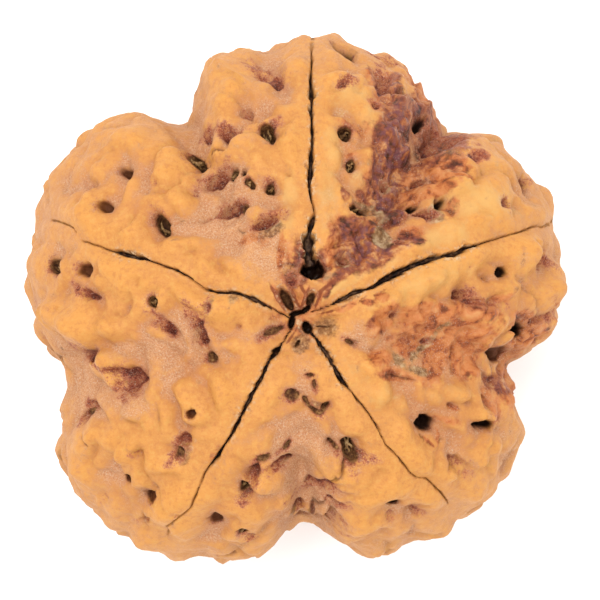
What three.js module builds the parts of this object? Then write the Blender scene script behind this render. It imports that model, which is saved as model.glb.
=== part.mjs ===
// A five-faced rudraksha seed: the hard, pitted stone of the fruit, cleaned and dry.
// It is one solid. Five lobes stand round an axis, each with a fissure along its crest from one end
// to the other, and the skin between is a raised net of smooth ridges round pits and hollows.
// The seed lies on one end. Its upper end is the face, with +Y towards the longest lobe.
// Millimetres throughout, with the axis through the seed's middle until the last step.

import * as THREE from "three";
import { ConvexHull } from "three/addons/math/ConvexHull.js";

const degrees = Math.PI / 180;
const fullTurn = 360 * degrees;

// Driving dimensions
const height = 16.4; // end to end, before the ends sink in
const fullness = 2.35; // 2 is an ellipse from the side, and more is squarer
const endSink = 0.9; // how far each end is drawn in
const endSinkReach = 1.7; // how far from the axis that is felt
const footCut = 0.45; // worn off the lowest ridges, so that the seed lies still
const relief = 0.3; // what knobs and ridges add to the outline, taken off the smooth body
const mostCorners = 5850; // of the faceted surface

// The outline seen along the axis: degrees round it from +X, and how far the surface reaches.
const outline = [
  [0, 10.4], [12, 10.8], [24, 11.0], [36, 11.0], [46, 10.5], [54, 9.8],
  [64, 10.8], [74, 11.2], [85, 11.5], [96, 11.1], [108, 11.1], [114, 10.2], [120, 9.3],
  [128, 10.6], [138, 11.3], [150, 11.5], [162, 11.2], [174, 10.9], [184, 10.5], [193, 9.6],
  [204, 10.5], [212, 11.2], [222, 11.3], [234, 10.9], [246, 10.3], [258, 9.6], [265, 8.8], [271, 7.9],
  [282, 9.3], [290, 9.8], [306, 10.1], [318, 10.3], [330, 10.2], [339, 9.5], [348, 8.7], [354, 9.5],
];

// The fissures on the face, from the middle outwards: x, y and the width of the mouth.
const fissures = {
  top: [
    [0.1, 0.4, 0.1], [0.5, 1.3, 0.2], [0.5, 2.1, 0.5], [0.4, 3.4, 0.42], [0.6, 4.3, 0.12],
    [0.42, 5.3, 0.28], [0.55, 7.2, 0.22], [0.5, 8.9, 0.22], [0.46, 9.8, 0.1], [0.5, 11.1, 0.05],
  ],
  left: [
    [-0.3, 0.2, 0.1], [-1.0, 0.5, 0.08], [-1.7, 0.85, 0.2], [-2.6, 1.2, 0.2], [-3.6, 1.28, 0.2],
    [-4.2, 1.8, 0.08], [-5.1, 2.2, 0.14], [-6.8, 2.8, 0.24], [-8.4, 3.2, 0.06], [-9.8, 3.75, 0.04],
  ],
  lowerLeft: [
    [-0.2, -0.2, 0.12], [-0.8, -1.0, 0.1], [-1.0, -1.3, 0.25], [-1.5, -2.2, 0.2], [-2.1, -3.4, 0.26],
    [-2.6, -4.3, 0.18], [-3.3, -5.4, 0.14], [-3.8, -6.5, 0.08], [-4.6, -7.5, 0.05], [-5.1, -8.3, 0.04],
  ],
  lowerRight: [
    [0.25, -0.2, 0.3], [0.8, -0.8, 0.12], [1.15, -1.25, 0.3], [1.6, -2.2, 0.22], [2.0, -2.65, 0.26],
    [2.6, -3.4, 0.08], [3.3, -4.8, 0.06], [4.5, -5.95, 0.05], [5.5, -6.6, 0.05], [5.85, -7.2, 0.03],
  ],
  right: [
    [0.35, 0.3, 0.1], [1.2, 0.6, 0.1], [1.9, 1.0, 0.2], [2.8, 1.4, 0.26], [3.9, 2.0, 0.36],
    [5.2, 2.5, 0.3], [6.5, 2.9, 0.2], [7.3, 3.2, 0.08], [8.9, 3.6, 0.05], [10.2, 4.0, 0.03],
  ],
};
// Over the rim and the back they go on with a slight sway: degrees down from the axis, and mouths in mm.
const backFissures = { first: 105, last: 175, step: 10, sway: 4 * degrees, narrow: 0.06, wide: 0.22 };
const widenTo = 0.3; // hairlines are opened to this, so that they show in facets of this size
const fissureDepth = (mouth) => 0.2 + 2 * mouth;
const lip = { lift: 0.28, out: 0.6, spread: 0.65 }; // the smooth ridges along a fissure's two sides

// Pits and hollows on the face: x, y, length, width, turn of the length in degrees, depth.
const facePits = {
  top: [
    [-1.2, 7.5, 0.8, 0.6, -52, 0.8], [1.8, 7.6, 0.7, 0.5, 10, 0.7], [1.8, 9.8, 0.7, 0.4, 25, 0.4],
    [2.1, 6.3, 0.5, 0.6, 0, 0.4], [0.52, 2.08, 1.0, 0.9, 0, 1.2], [4.6, 8.0, 0.5, 0.4, 0, 0.6],
  ],
  upperLeft: [
    [-6.85, 5.95, 0.6, 0.5, 0, 0.6], [-7.8, 4.6, 0.5, 0.5, 0, 0.6], [-5.5, 3.9, 1.0, 0.6, -61, 0.9],
    [-4.0, 6.5, 1.1, 0.6, -41, 0.9], [-2.8, 5.8, 1.4, 0.6, 25, 0.6], [-1.9, 5.5, 0.6, 0.4, -30, 0.4],
    [-1.15, 5.25, 0.6, 0.5, 0, 0.4], [-2.4, 4.5, 1.0, 0.5, 25, 0.5], [-1.2, 3.8, 1.2, 0.5, 25, 0.4],
  ],
  upperRight: [
    [2.4, 4.55, 0.9, 0.5, 0, 0.8], [5.1, 4.4, 1.2, 0.6, -10, 0.6], [8.35, 4.8, 0.6, 0.5, -20, 0.6],
    [9.1, 5.6, 0.4, 0.4, 0, 0.4], [5.4, 6.9, 1.4, 0.9, -25, 0.5], [3.4, 5.4, 0.5, 0.5, 0, 0.4],
  ],
  right: [
    [8.3, 2.05, 0.5, 0.5, 0, 0.7], [8.7, -0.3, 0.7, 0.7, 0, 0.9], [7.95, -1.25, 1.1, 0.9, -15, 0.9],
    [6.4, 1.1, 1.1, 0.5, -10, 0.5], [9.75, 2.4, 0.8, 0.6, -45, 0.3],
  ],
  lowerRight: [
    [5.1, -4.0, 0.8, 0.5, 5, 0.9], [7.3, -4.05, 0.8, 0.5, 15, 0.8], [1.9, -5.0, 1.1, 0.6, -75, 0.8],
    [3.85, -7.25, 0.5, 0.4, 0, 0.6], [6.6, -5.9, 1.0, 0.5, -30, 0.3], [7.75, -3.4, 1.2, 0.4, 100, 0.4],
  ],
  bottom: [
    [0.5, -7.45, 0.5, 0.5, 0, 0.6], [0.9, -6.5, 1.4, 0.4, 10, 0.4], [1.3, -8.0, 1.0, 0.5, 0, 0.4],
    [0.8, -3.4, 0.9, 0.5, 0, 0.4], [-0.2, -2.95, 0.7, 0.6, 0, 0.4], [-0.5, -4.8, 0.6, 0.5, 30, 0.4],
    [-2.2, -6.5, 0.6, 0.8, -15, 0.6], [-1.4, -5.6, 1.2, 0.4, 30, 0.4],
  ],
  lowerLeft: [
    [-4.4, -3.75, 0.5, 0.5, 0, 0.7], [-4.6, -5.0, 0.9, 0.7, 60, 0.5], [-6.9, -6.35, 0.5, 0.4, 0, 0.5],
    [-5.9, -7.0, 0.7, 0.4, 20, 0.7], [-3.3, -8.1, 0.6, 0.5, 0, 0.5],
  ],
  left: [
    [-6.6, -2.4, 1.1, 1.1, 0, 0.6], [-8.4, -1.25, 1.0, 0.6, -30, 0.5], [-8.3, -3.2, 0.9, 0.5, 60, 0.4],
    [-3.5, -1.4, 0.8, 0.5, -40, 0.5], [-3.95, -0.2, 1.4, 0.5, -80, 0.4], [-5.9, 0.8, 0.5, 0.5, 0, 0.6],
    [-8.6, 2.1, 0.8, 0.5, 10, 0.7], [-9.8, 2.2, 0.5, 0.8, 0, 0.6], [-8.5, 1.15, 0.8, 0.4, -25, 0.4],
  ],
};

// Smooth knobs and ridges that stand out of the face: x, y, length, width, turn, lift.
const faceLumps = {
  top: [
    [-0.2, 10.9, 1.6, 1.4, 0, 0.15], [1.4, 10.9, 2.0, 1.5, -20, 0.25], [2.8, 10.4, 1.6, 1.2, -30, 0.3],
    [3.8, 10.2, 1.4, 1.2, -40, 0.3], [-2.6, 10.1, 2.4, 1.3, 20, 0.35], [-3.5, 9.7, 1.4, 1.6, 0, 0.3],
    [-1.8, 9.2, 1.6, 1.2, 0, 0.25], [-3.0, 8.9, 1.6, 1.2, 60, 0.25], [2.1, 9.2, 1.8, 1.3, 0, 0.25],
    [4.1, 9.1, 2.0, 0.9, 100, 0.3], [-1.4, 6.4, 1.7, 1.3, 0, 0.2], [-2.9, 6.7, 2.2, 0.9, 25, 0.25],
  ],
  upperLeft: [
    [-6.6, 7.1, 2.0, 1.1, -10, 0.3], [-7.8, 7.4, 1.6, 1.3, 30, 0.3], [-6.7, 8.1, 3.0, 1.1, 5, 0.3],
    [-5.1, 6.3, 1.6, 2.0, 30, 0.3], [-4.8, 5.0, 2.2, 1.4, 20, 0.25], [-9.8, 5.5, 1.4, 1.6, 0, 0.2],
    [-8.9, 6.5, 1.6, 1.4, 45, 0.3], [-8.2, 4.2, 2.4, 1.2, 10, 0.25],
  ],
  upperRight: [
    [6.7, 6.9, 2.4, 1.0, -20, 0.3], [7.8, 7.1, 1.6, 1.2, -20, 0.3], [8.1, 6.1, 1.6, 1.3, 0, 0.25],
    [9.4, 5.7, 1.4, 1.4, 0, 0.2], [7.1, 5.2, 3.0, 1.2, -15, 0.35], [7.0, 4.3, 2.8, 1.2, 10, 0.25],
    [9.7, 4.4, 1.4, 1.4, 0, 0.15], [5.6, 5.4, 1.8, 0.7, -10, 0.25], [5.2, 8.1, 1.6, 0.7, -50, 0.3],
    [2.9, 3.9, 1.4, 1.0, 0, 0.3],
  ],
  right: [
    [6.0, 2.1, 3.4, 1.3, 20, 0.3], [4.1, 1.0, 2.5, 1.1, 25, 0.25], [8.1, 1.5, 1.4, 1.2, 0, 0.25],
    [8.9, 2.7, 1.6, 1.4, 0, 0.3], [10.1, 1.6, 1.2, 1.6, 0, 0.35], [9.6, 0.9, 1.4, 1.2, 0, 0.3],
    [9.9, -0.1, 1.4, 1.2, 40, 0.3], [9.0, -1.0, 1.6, 0.9, 30, 0.3], [7.6, 0.2, 1.8, 1.1, -20, 0.2],
  ],
  lowerRight: [
    [7.3, -3.5, 0.8, 0.7, 0, 0.3], [8.2, -3.3, 1.8, 0.8, -70, 0.3], [8.8, -4.4, 1.6, 1.4, 0, 0.35],
    [7.5, -5.1, 2.4, 1.5, 0, 0.3], [7.2, -6.4, 1.6, 1.3, 0, 0.3], [6.8, -7.3, 1.4, 1.2, 0, 0.15],
    [5.6, -7.9, 2.2, 1.1, 20, 0.15], [4.4, -5.1, 2.2, 1.4, -40, 0.2], [5.9, -2.9, 2.0, 1.1, 0, 0.2],
  ],
  bottom: [
    [1.4, -5.9, 1.8, 1.4, 0, 0.3], [2.8, -6.4, 2.8, 1.5, 0, 0.3], [2.5, -8.2, 2.2, 1.4, 0, 0.3],
    [3.2, -9.1, 2.0, 1.2, 10, 0.35], [-1.1, -6.3, 1.4, 1.2, 0, 0.3], [-2.0, -7.6, 2.6, 1.4, 10, 0.3],
    [-2.9, -9.2, 1.6, 1.2, 0, 0.35], [-1.5, -8.8, 1.8, 1.2, 20, 0.3], [-4.7, -9.0, 1.8, 1.2, 0, 0.3],
    [-4.0, -8.1, 1.6, 1.2, 0, 0.2],
  ],
  lowerLeft: [
    [-6.4, -3.9, 1.6, 1.3, 0, 0.25], [-6.3, -4.9, 2.4, 1.1, 20, 0.3], [-8.0, -4.6, 1.7, 1.4, 0, 0.3],
    [-9.4, -5.0, 1.5, 1.9, 0, 0.35], [-8.4, -5.9, 1.6, 1.3, 0, 0.3], [-5.9, -5.9, 1.8, 1.2, 0, 0.2],
    [-4.9, -7.0, 2.2, 1.3, 20, 0.35], [-7.2, -8.0, 1.0, 1.4, 0, 0.4], [-8.2, -7.0, 1.4, 1.1, -30, 0.25],
    [-5.9, -8.5, 1.6, 1.0, -20, 0.25],
  ],
  left: [
    [-7.0, 1.7, 2.6, 1.4, -15, 0.25], [-5.0, 0.9, 2.0, 1.1, -10, 0.2], [-2.8, 0.6, 1.6, 1.0, 0, 0.2],
    [-8.2, 0.0, 3.0, 1.7, 0, 0.3], [-9.8, 0.4, 1.4, 1.8, 0, 0.3], [-7.4, -1.5, 1.3, 0.9, 0, 0.35],
    [-5.7, -2.6, 1.4, 1.6, 0, 0.25], [-3.8, -3.0, 3.0, 2.2, 40, 0.2], [-10.2, 2.2, 1.2, 1.8, 0, 0.3],
    [-9.3, -3.4, 1.4, 1.4, 0, 0.25],
  ],
};

// The broad valleys between the fissures' ridges, as hollows on the face in the same order.
const faceValleys = [
  [-4.0, 5.4, 5.6, 2.6, 128, 0.6], [4.3, 5.6, 6.4, 3.2, 55, 0.85], [5.4, -1.2, 5.2, 2.8, -15, 0.6],
  [0.3, -5.6, 5.2, 2.4, 92, 0.6], [-5.2, -1.5, 5.6, 2.8, 15, 0.6],
];

// Away from the face the pits and knobs follow a seeded rule, spread evenly over the seed.
const backPits = {
  count: 230, smallest: 0.65, largest: 1.3, shallowest: 0.5, deepest: 0.9, toFissure: 0.45, seed: 41,
};
const backKnobs = { count: 330, smallest: 1.4, largest: 2.3, lowest: 0.2, highest: 0.5, seed: 77 };
const faceEdge = 53 * degrees; // from the axis: the seeded pits begin here, and the knobs fade in
const funnel = { reach: 2.4, depth: 0.4 }; // the hollow round each pit, in pits' half widths and mm

// Facets: how far apart corners are set, and how near two of them may be.
const fissureStep = 0.55;
const footStep = 0.42; // on the worn feet
const footReach = 6; // from the axis to the furthest foot
const evenCorners = 1500; // over the whole seed, where they have evenGap round them
const evenGap = 0.55;
const nearest = 0.13;
const cornersPerRound = 350;
const refineFrom = 0.08; // mm2 on the smooth body: smaller facets gain no more corners

function seededDraw(seed) {
  let state = seed;
  return () => {
    state = (state * 16807) % 2147483647;
    return state / 2147483647;
  };
}

const smooth = (low, high, value) => {
  const t = Math.min(1, Math.max(0, (value - low) / (high - low)));
  return t * t * (3 - 2 * t);
};

const between = (low, high, share) => low + (high - low) * share;

// The outline's reach at a turn round the axis: a smooth curve through its points.
function outlineReach(turn) {
  const angle = ((turn / degrees) % 360 + 360) % 360;
  const count = outline.length;
  const point = (i) => {
    const [at, reach] = outline[((i % count) + count) % count];
    return [at + 360 * Math.floor(i / count), reach];
  };
  let i = outline.findIndex(([at]) => at > angle) - 1;
  if (i < -0.5) i = count - 1;
  const [before, start, end, after] = [point(i - 1), point(i), point(i + 1), point(i + 2)];
  const span = end[0] - start[0];
  const t = (angle - start[0]) / span;
  const slopeIn = ((end[1] - before[1]) / (end[0] - before[0])) * span;
  const slopeOut = ((after[1] - start[1]) / (after[0] - start[0])) * span;
  return (
    start[1] * (1 + t * t * (2 * t - 3)) + end[1] * t * t * (3 - 2 * t) +
    slopeIn * t * (1 - t) * (1 - t) + slopeOut * t * t * (t - 1)
  );
}

const meanReach = outline.reduce((sum, [, reach]) => sum + reach, 0) / outline.length;

// From the middle to the smooth body, along a direction. The lobes fade towards the ends.
function bodyReach(direction) {
  const across = Math.hypot(direction.x, direction.y);
  const turn = Math.atan2(direction.y, direction.x);
  const lobed = meanReach + (outlineReach(turn) - meanReach) * across - relief;
  const up = Math.abs(direction.z);
  const reach = ((across / lobed) ** fullness + (up / (height / 2)) ** fullness) ** (-1 / fullness);
  const fromAxis = reach * across;
  return reach - endSink * Math.exp(-((fromAxis / endSinkReach) ** 2)) * up;
}

const rimDown = 88 * degrees; // from the axis: as far as the face goes

const towards = (turn, down) =>
  new THREE.Vector3(Math.cos(turn) * Math.sin(down), Math.sin(turn) * Math.sin(down), Math.cos(down));

// The angle down from the axis at which the body passes under a point x, y of the face.
function angleUnder(x, y) {
  const turn = Math.atan2(y, x);
  const fromAxis = Math.hypot(x, y);
  let low = 0;
  let high = rimDown;
  for (let step = 0; step < 30; step++) {
    const middle = (low + high) / 2;
    const out = bodyReach(towards(turn, middle)) * Math.sin(middle);
    if (out < fromAxis) low = middle;
    else high = middle;
  }
  return low;
}

const faceDirection = (x, y) => towards(Math.atan2(y, x), angleUnder(x, y));

// Each fissure as turns round the axis against angles down from it, over the face and on to the back.
const crests = Object.values(fissures).map((route, which) => {
  const line = route.map(([x, y, wide]) => ({ down: angleUnder(x, y), turn: Math.atan2(y, x), wide }));
  for (let i = 1; i < line.length; i++)
    line[i].turn += fullTurn * Math.round((line[i - 1].turn - line[i].turn) / fullTurn);
  const rim = line[line.length - 1];
  const { first, last, step, sway, narrow, wide } = backFissures;
  for (let down = first; down <= last; down += step) {
    const turn = rim.turn + sway * Math.sin(down / 9 + which * 1.7);
    line.push({ down: down * degrees, turn, wide: between(narrow, wide, smooth(first, last - step, down)) });
  }
  return line;
});

function alongCrest(line, down) {
  let i = line.findIndex((p) => p.down > down);
  if (i < 0) i = line.length - 1;
  if (i === 0) return line[0];
  const [start, end] = [line[i - 1], line[i]];
  const t = Math.min(1, (down - start.down) / (end.down - start.down));
  return { turn: between(start.turn, end.turn, t), wide: between(start.wide, end.wide, t) };
}

// How far a direction's point lies aside from one fissure, and from the nearest of them.
function aside(line, direction) {
  const down = Math.acos(THREE.MathUtils.clamp(direction.z, -1, 1));
  const turn = Math.atan2(direction.y, direction.x) - alongCrest(line, down).turn;
  return Math.abs(Math.atan2(Math.sin(turn), Math.cos(turn))) * Math.sin(down) * bodyReach(direction);
}

const fromCrests = (direction) => Math.min(...crests.map((line) => aside(line, direction)));

// A dent or a knob: its middle, and three half sizes as vectors that measure how far out a point is.
// towardsPlace gives the direction of a place u and v half sizes from its middle.
function spot(direction, halves, depth, towardsPlace) {
  return {
    centre: direction.clone().multiplyScalar(bodyReach(direction)),
    axes: halves.map((half) => half.clone().divideScalar(half.lengthSq())),
    reach: funnel.reach * Math.max(...halves.map((half) => half.length())),
    depth,
    towardsPlace,
  };
}

// On the face a spot has the size and the turn that it shows from straight above.
function faceSpot([x, y, length, width, turn, depth]) {
  const first = new THREE.Vector3(Math.cos(turn * degrees), Math.sin(turn * degrees), 0);
  const second = new THREE.Vector3(-first.y, first.x, 0).multiplyScalar(width / 2);
  first.multiplyScalar(length / 2);
  const upright = new THREE.Vector3(0, 0, 0.8 * Math.max(length, width));
  const towardsPlace = (u, v) =>
    faceDirection(x + u * first.x + v * second.x, y + u * first.y + v * second.y);
  return spot(faceDirection(x, y), [first, second, upright], depth, towardsPlace);
}

function seededSpot(direction, turn, length, width, depth) {
  const east = new THREE.Vector3(-direction.y, direction.x, 0).normalize();
  const north = direction.clone().cross(east);
  const first = east.clone().multiplyScalar(Math.cos(turn)).addScaledVector(north, Math.sin(turn));
  const second = direction.clone().cross(first).multiplyScalar(width / 2);
  first.multiplyScalar(length / 2);
  const inward = direction.clone().multiplyScalar(Math.max(length, width));
  const centre = direction.clone().multiplyScalar(bodyReach(direction));
  const towardsPlace = (u, v) =>
    centre.clone().addScaledVector(first, u).addScaledVector(second, v).normalize();
  return spot(direction, [first, second, inward], depth, towardsPlace);
}

// Directions spread evenly over the whole seed, each moved a little by a draw.
function spreadDirections(count, draw, stray) {
  const golden = Math.PI * (3 - Math.sqrt(5));
  return Array.from({ length: count }, (_, i) => {
    const z = 1 - (2 * i + 1) / count;
    const ring = Math.sqrt(1 - z * z);
    const direction = new THREE.Vector3(Math.cos(golden * i) * ring, Math.sin(golden * i) * ring, z);
    direction.x += stray * (draw() - 0.5);
    direction.y += stray * (draw() - 0.5);
    direction.z += stray * (draw() - 0.5);
    return direction.normalize();
  });
}

const pits = Object.values(facePits).flat().map(faceSpot);
const lumps = Object.values(faceLumps).flat().map(faceSpot);
const valleys = faceValleys.map(faceSpot);

const pitDraw = seededDraw(backPits.seed);
for (const direction of spreadDirections(backPits.count, pitDraw, 0.1)) {
  const length = between(backPits.smallest, backPits.largest, pitDraw() ** 2);
  const width = length * between(0.6, 1, pitDraw());
  const turn = Math.PI * pitDraw();
  const depth = between(backPits.shallowest, backPits.deepest, pitDraw());
  const clearOfFissures = fromCrests(direction) > length / 2 + backPits.toFissure;
  if (Math.acos(direction.z) > faceEdge && clearOfFissures)
    pits.push(seededSpot(direction, turn, length, width, depth));
}

const knobDraw = seededDraw(backKnobs.seed);
const knobs = spreadDirections(backKnobs.count, knobDraw, 0.13).map((direction) => {
  const length = between(backKnobs.smallest, backKnobs.largest, knobDraw());
  const width = length * between(0.65, 1, knobDraw());
  const lift = between(backKnobs.lowest, backKnobs.highest, knobDraw());
  return seededSpot(direction, Math.PI * knobDraw(), length, width, lift);
});

// How far a point lies from a spot's middle, counted in the spot's own half sizes.
function howFarOut({ centre, axes, reach }, point) {
  const x = point.x - centre.x;
  const y = point.y - centre.y;
  const z = point.z - centre.z;
  if (Math.abs(x) > reach || Math.abs(y) > reach || Math.abs(z) > reach) return Infinity;
  return Math.hypot(...axes.map((axis) => x * axis.x + y * axis.y + z * axis.z));
}

let floor = -Infinity; // the level that the seed rests on, known once its lowest ridges are

// From the middle to the finished surface, along a direction.
function surfaceReach(direction) {
  let reach = bodyReach(direction);
  const point = direction.clone().multiplyScalar(reach);
  const down = Math.acos(THREE.MathUtils.clamp(direction.z, -1, 1));
  const offFace = smooth(0.75 * faceEdge, 1.2 * faceEdge, down);
  const fromAxis = reach * Math.sin(down);

  let cut = 0;
  let ridge = 0;
  for (const line of crests) {
    const off = aside(line, direction);
    const mouth = Math.max(alongCrest(line, down).wide, widenTo);
    cut = Math.max(cut, fissureDepth(mouth) * (1 - smooth(0.05, 0.55, off / mouth)));
    ridge = Math.max(ridge, Math.exp(-(((off - lip.out) / lip.spread) ** 2)));
  }
  reach += lip.lift * ridge * smooth(0.5, 2.5, fromAxis);

  const bulge = (out) => Math.exp(-1.6 * out * out);
  for (const lump of lumps) reach += lump.depth * bulge(howFarOut(lump, point));
  for (const knob of knobs) reach += knob.depth * bulge(howFarOut(knob, point)) * offFace;
  for (const valley of valleys) reach -= valley.depth * (1 - smooth(0, 1.3, howFarOut(valley, point)));

  let hollow = 0;
  for (const pit of pits) {
    const out = howFarOut(pit, point);
    cut = Math.max(cut, pit.depth * (1 - smooth(0.4, 1.15, out)));
    hollow = Math.max(hollow, funnel.depth * (1 - smooth(0.4, funnel.reach, out)));
  }
  reach -= cut + hollow * smooth(0.1, 0.9, fromCrests(direction));
  const level = direction.z < 0 ? floor / direction.z : Infinity;
  return Math.min(reach, level);
}

// Directions along the fissures: the bottom of each, the two edges of its mouth and its two ridges.
function fissureDirections(offsets) {
  const made = [];
  for (const line of crests) {
    const step = fissureStep / (height / 2);
    for (let down = 0.06; down < Math.PI - 0.06; down += step / (1 + 0.35 * Math.sin(down))) {
      const { turn, wide } = alongCrest(line, down);
      const mouth = Math.max(wide, widenTo);
      const fromAxis = bodyReach(towards(turn, down)) * Math.sin(down);
      for (const offset of offsets(mouth)) {
        const swing = offset / Math.max(fromAxis, 0.05);
        if (Math.abs(swing) < 30 * degrees) made.push(towards(turn + swing, down));
      }
    }
  }
  return made;
}

// Directions round a spot, some half sizes out from its middle.
const ringDirections = (around, out, count) =>
  Array.from({ length: count }, (_, i) => {
    const turn = (fullTurn * (i + out)) / count;
    return around.towardsPlace(out * Math.cos(turn), out * Math.sin(turn));
  });

// Three corner numbers for every facet of the ball that the directions make, all facing out.
function facetsOver(directions) {
  const numberOf = new Map(directions.map((direction, i) => [direction, i]));
  const hull = new ConvexHull().setFromPoints(directions);
  return hull.faces.map((face) => {
    const corners = [];
    let edge = face.edge;
    do {
      corners.push(numberOf.get(edge.head().point));
      edge = edge.next;
    } while (edge !== face.edge);
    return corners;
  });
}

// The first corners follow the fissures and pits, and the rest are even. None is too near another.
function firstDirections() {
  const wanted = [
    ...fissureDirections(() => [0]),
    ...pits.map((pit) => pit.towardsPlace(0, 0)),
    ...fissureDirections((mouth) => [-0.55 * mouth, 0.55 * mouth]),
    ...pits.flatMap((pit) => ringDirections(pit, 0.45, 4)),
    ...pits.flatMap((pit) => ringDirections(pit, 1.15, 6)),
    ...fissureDirections(() => [-lip.out, lip.out]),
    ...lumps.map((lump) => lump.towardsPlace(0, 0)),
  ];
  const kept = [];
  const clear = (gap) => (direction) => {
    const free = kept.every((other) => other.distanceTo(direction) * bodyReach(direction) > gap);
    if (free) kept.push(direction);
  };
  wanted.forEach(clear(nearest));
  spreadDirections(evenCorners, () => 0.5, 0).forEach(clear(evenGap));
  return kept;
}

// Directions to an even grid on the level that the seed rests on, where its feet are worn to it.
function footDirections() {
  const made = [];
  for (let x = -footReach; x <= footReach; x += footStep)
    for (let y = -footReach; y <= footReach; y += footStep) {
      const direction = new THREE.Vector3(x, y, floor).normalize();
      if (surfaceReach(direction) === floor / direction.z) made.push(direction);
    }
  return made;
}

// Corners are added, round after round, where the surface lies furthest off its flat facets.
function fitFacets() {
  const directions = firstDirections();
  floor = Math.min(...directions.map((d) => d.z * surfaceReach(d))) + footCut;
  directions.push(...footDirections());
  const plane = new THREE.Plane();
  for (;;) {
    const facets = facetsOver(directions);
    const room = mostCorners - directions.length;
    if (room <= 0) return { directions, facets };
    const corners = directions.map((d) => d.clone().multiplyScalar(surfaceReach(d)));
    const worst = [];
    for (const facet of facets) {
      const onBall = new THREE.Triangle(...facet.map((i) => directions[i]));
      const direction = onBall.getMidpoint(new THREE.Vector3()).normalize();
      const area = onBall.getArea() * bodyReach(direction) ** 2;
      if (area < refineFrom) continue;
      plane.setFromCoplanarPoints(...facet.map((i) => corners[i]));
      const flat = -plane.constant / plane.normal.dot(direction);
      worst.push({ direction, off: Math.abs(surfaceReach(direction) - flat) * Math.sqrt(area) });
    }
    worst.sort((p, q) => q.off - p.off);
    const next = worst.slice(0, Math.min(room, cornersPerRound));
    directions.push(...next.map(({ direction }) => direction));
  }
}

function seedGeometry() {
  const { directions, facets } = fitFacets();
  const places = directions.flatMap((d) => d.clone().multiplyScalar(surfaceReach(d)).toArray());
  const geometry = new THREE.BufferGeometry();
  geometry.setAttribute("position", new THREE.Float32BufferAttribute(places, 3));
  geometry.setIndex(facets.flat());
  geometry.computeVertexNormals();
  geometry.computeBoundingBox();
  const middle = geometry.boundingBox.getCenter(new THREE.Vector3());
  geometry.translate(-middle.x, -middle.y, -floor);
  return geometry;
}

const dryShell = new THREE.MeshStandardMaterial({ color: "#dc9a58", roughness: 0.62, metalness: 0 });
const seed = new THREE.Mesh(seedGeometry(), dryShell);
seed.name = "rudraksha_seed";

const part = new THREE.Group();
part.add(seed);
export default part;
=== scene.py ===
import math

import bpy
import numpy as np
from mathutils import Matrix, Vector, noise


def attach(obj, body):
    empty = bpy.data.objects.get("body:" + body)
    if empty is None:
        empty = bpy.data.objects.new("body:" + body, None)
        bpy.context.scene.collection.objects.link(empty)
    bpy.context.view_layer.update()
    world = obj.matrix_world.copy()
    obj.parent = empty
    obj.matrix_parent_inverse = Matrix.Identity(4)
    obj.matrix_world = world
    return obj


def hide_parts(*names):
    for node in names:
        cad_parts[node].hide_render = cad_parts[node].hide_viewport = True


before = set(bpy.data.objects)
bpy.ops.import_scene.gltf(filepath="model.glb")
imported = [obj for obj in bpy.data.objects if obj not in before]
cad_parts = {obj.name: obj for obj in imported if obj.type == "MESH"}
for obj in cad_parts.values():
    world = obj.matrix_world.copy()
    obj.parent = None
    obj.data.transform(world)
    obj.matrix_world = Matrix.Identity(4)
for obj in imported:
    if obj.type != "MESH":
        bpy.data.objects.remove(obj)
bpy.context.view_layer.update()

# The seed itself: the hard, pitted stone of the fruit, one woody body grown in five lobes.
# It is cleaned of its pulp and dried. A fissure runs along each lobe's crest from end to end,
# with a smooth lip on both sides, and pits and hollows lie between them. Sizes are in mm.
MM = 0.001
SEED_MIDDLE = np.array([0.1449, -0.9701, 8.2348])
height = 16.4
fullness = 2.35
end_sink = 0.9
end_sink_reach = 1.7
relief = 0.3
rests_at = -SEED_MIDDLE[2]

# Seen along the axis: degrees round it from +X, and how far the surface reaches.
outline = np.array([
    [0, 10.4], [12, 10.8], [24, 11.0], [36, 11.0], [46, 10.5], [54, 9.8], [64, 10.8], [74, 11.2],
    [85, 11.5], [96, 11.1], [108, 11.1], [114, 10.2], [120, 9.3], [128, 10.6], [138, 11.3], [150, 11.5],
    [162, 11.2], [174, 10.9], [184, 10.5], [193, 9.6], [204, 10.5], [212, 11.2], [222, 11.3], [234, 10.9],
    [246, 10.3], [258, 9.6], [265, 8.8], [271, 7.9], [282, 9.3], [290, 9.8], [306, 10.1], [318, 10.3],
    [330, 10.2], [339, 9.5], [348, 8.7], [354, 9.5],
])

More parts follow.
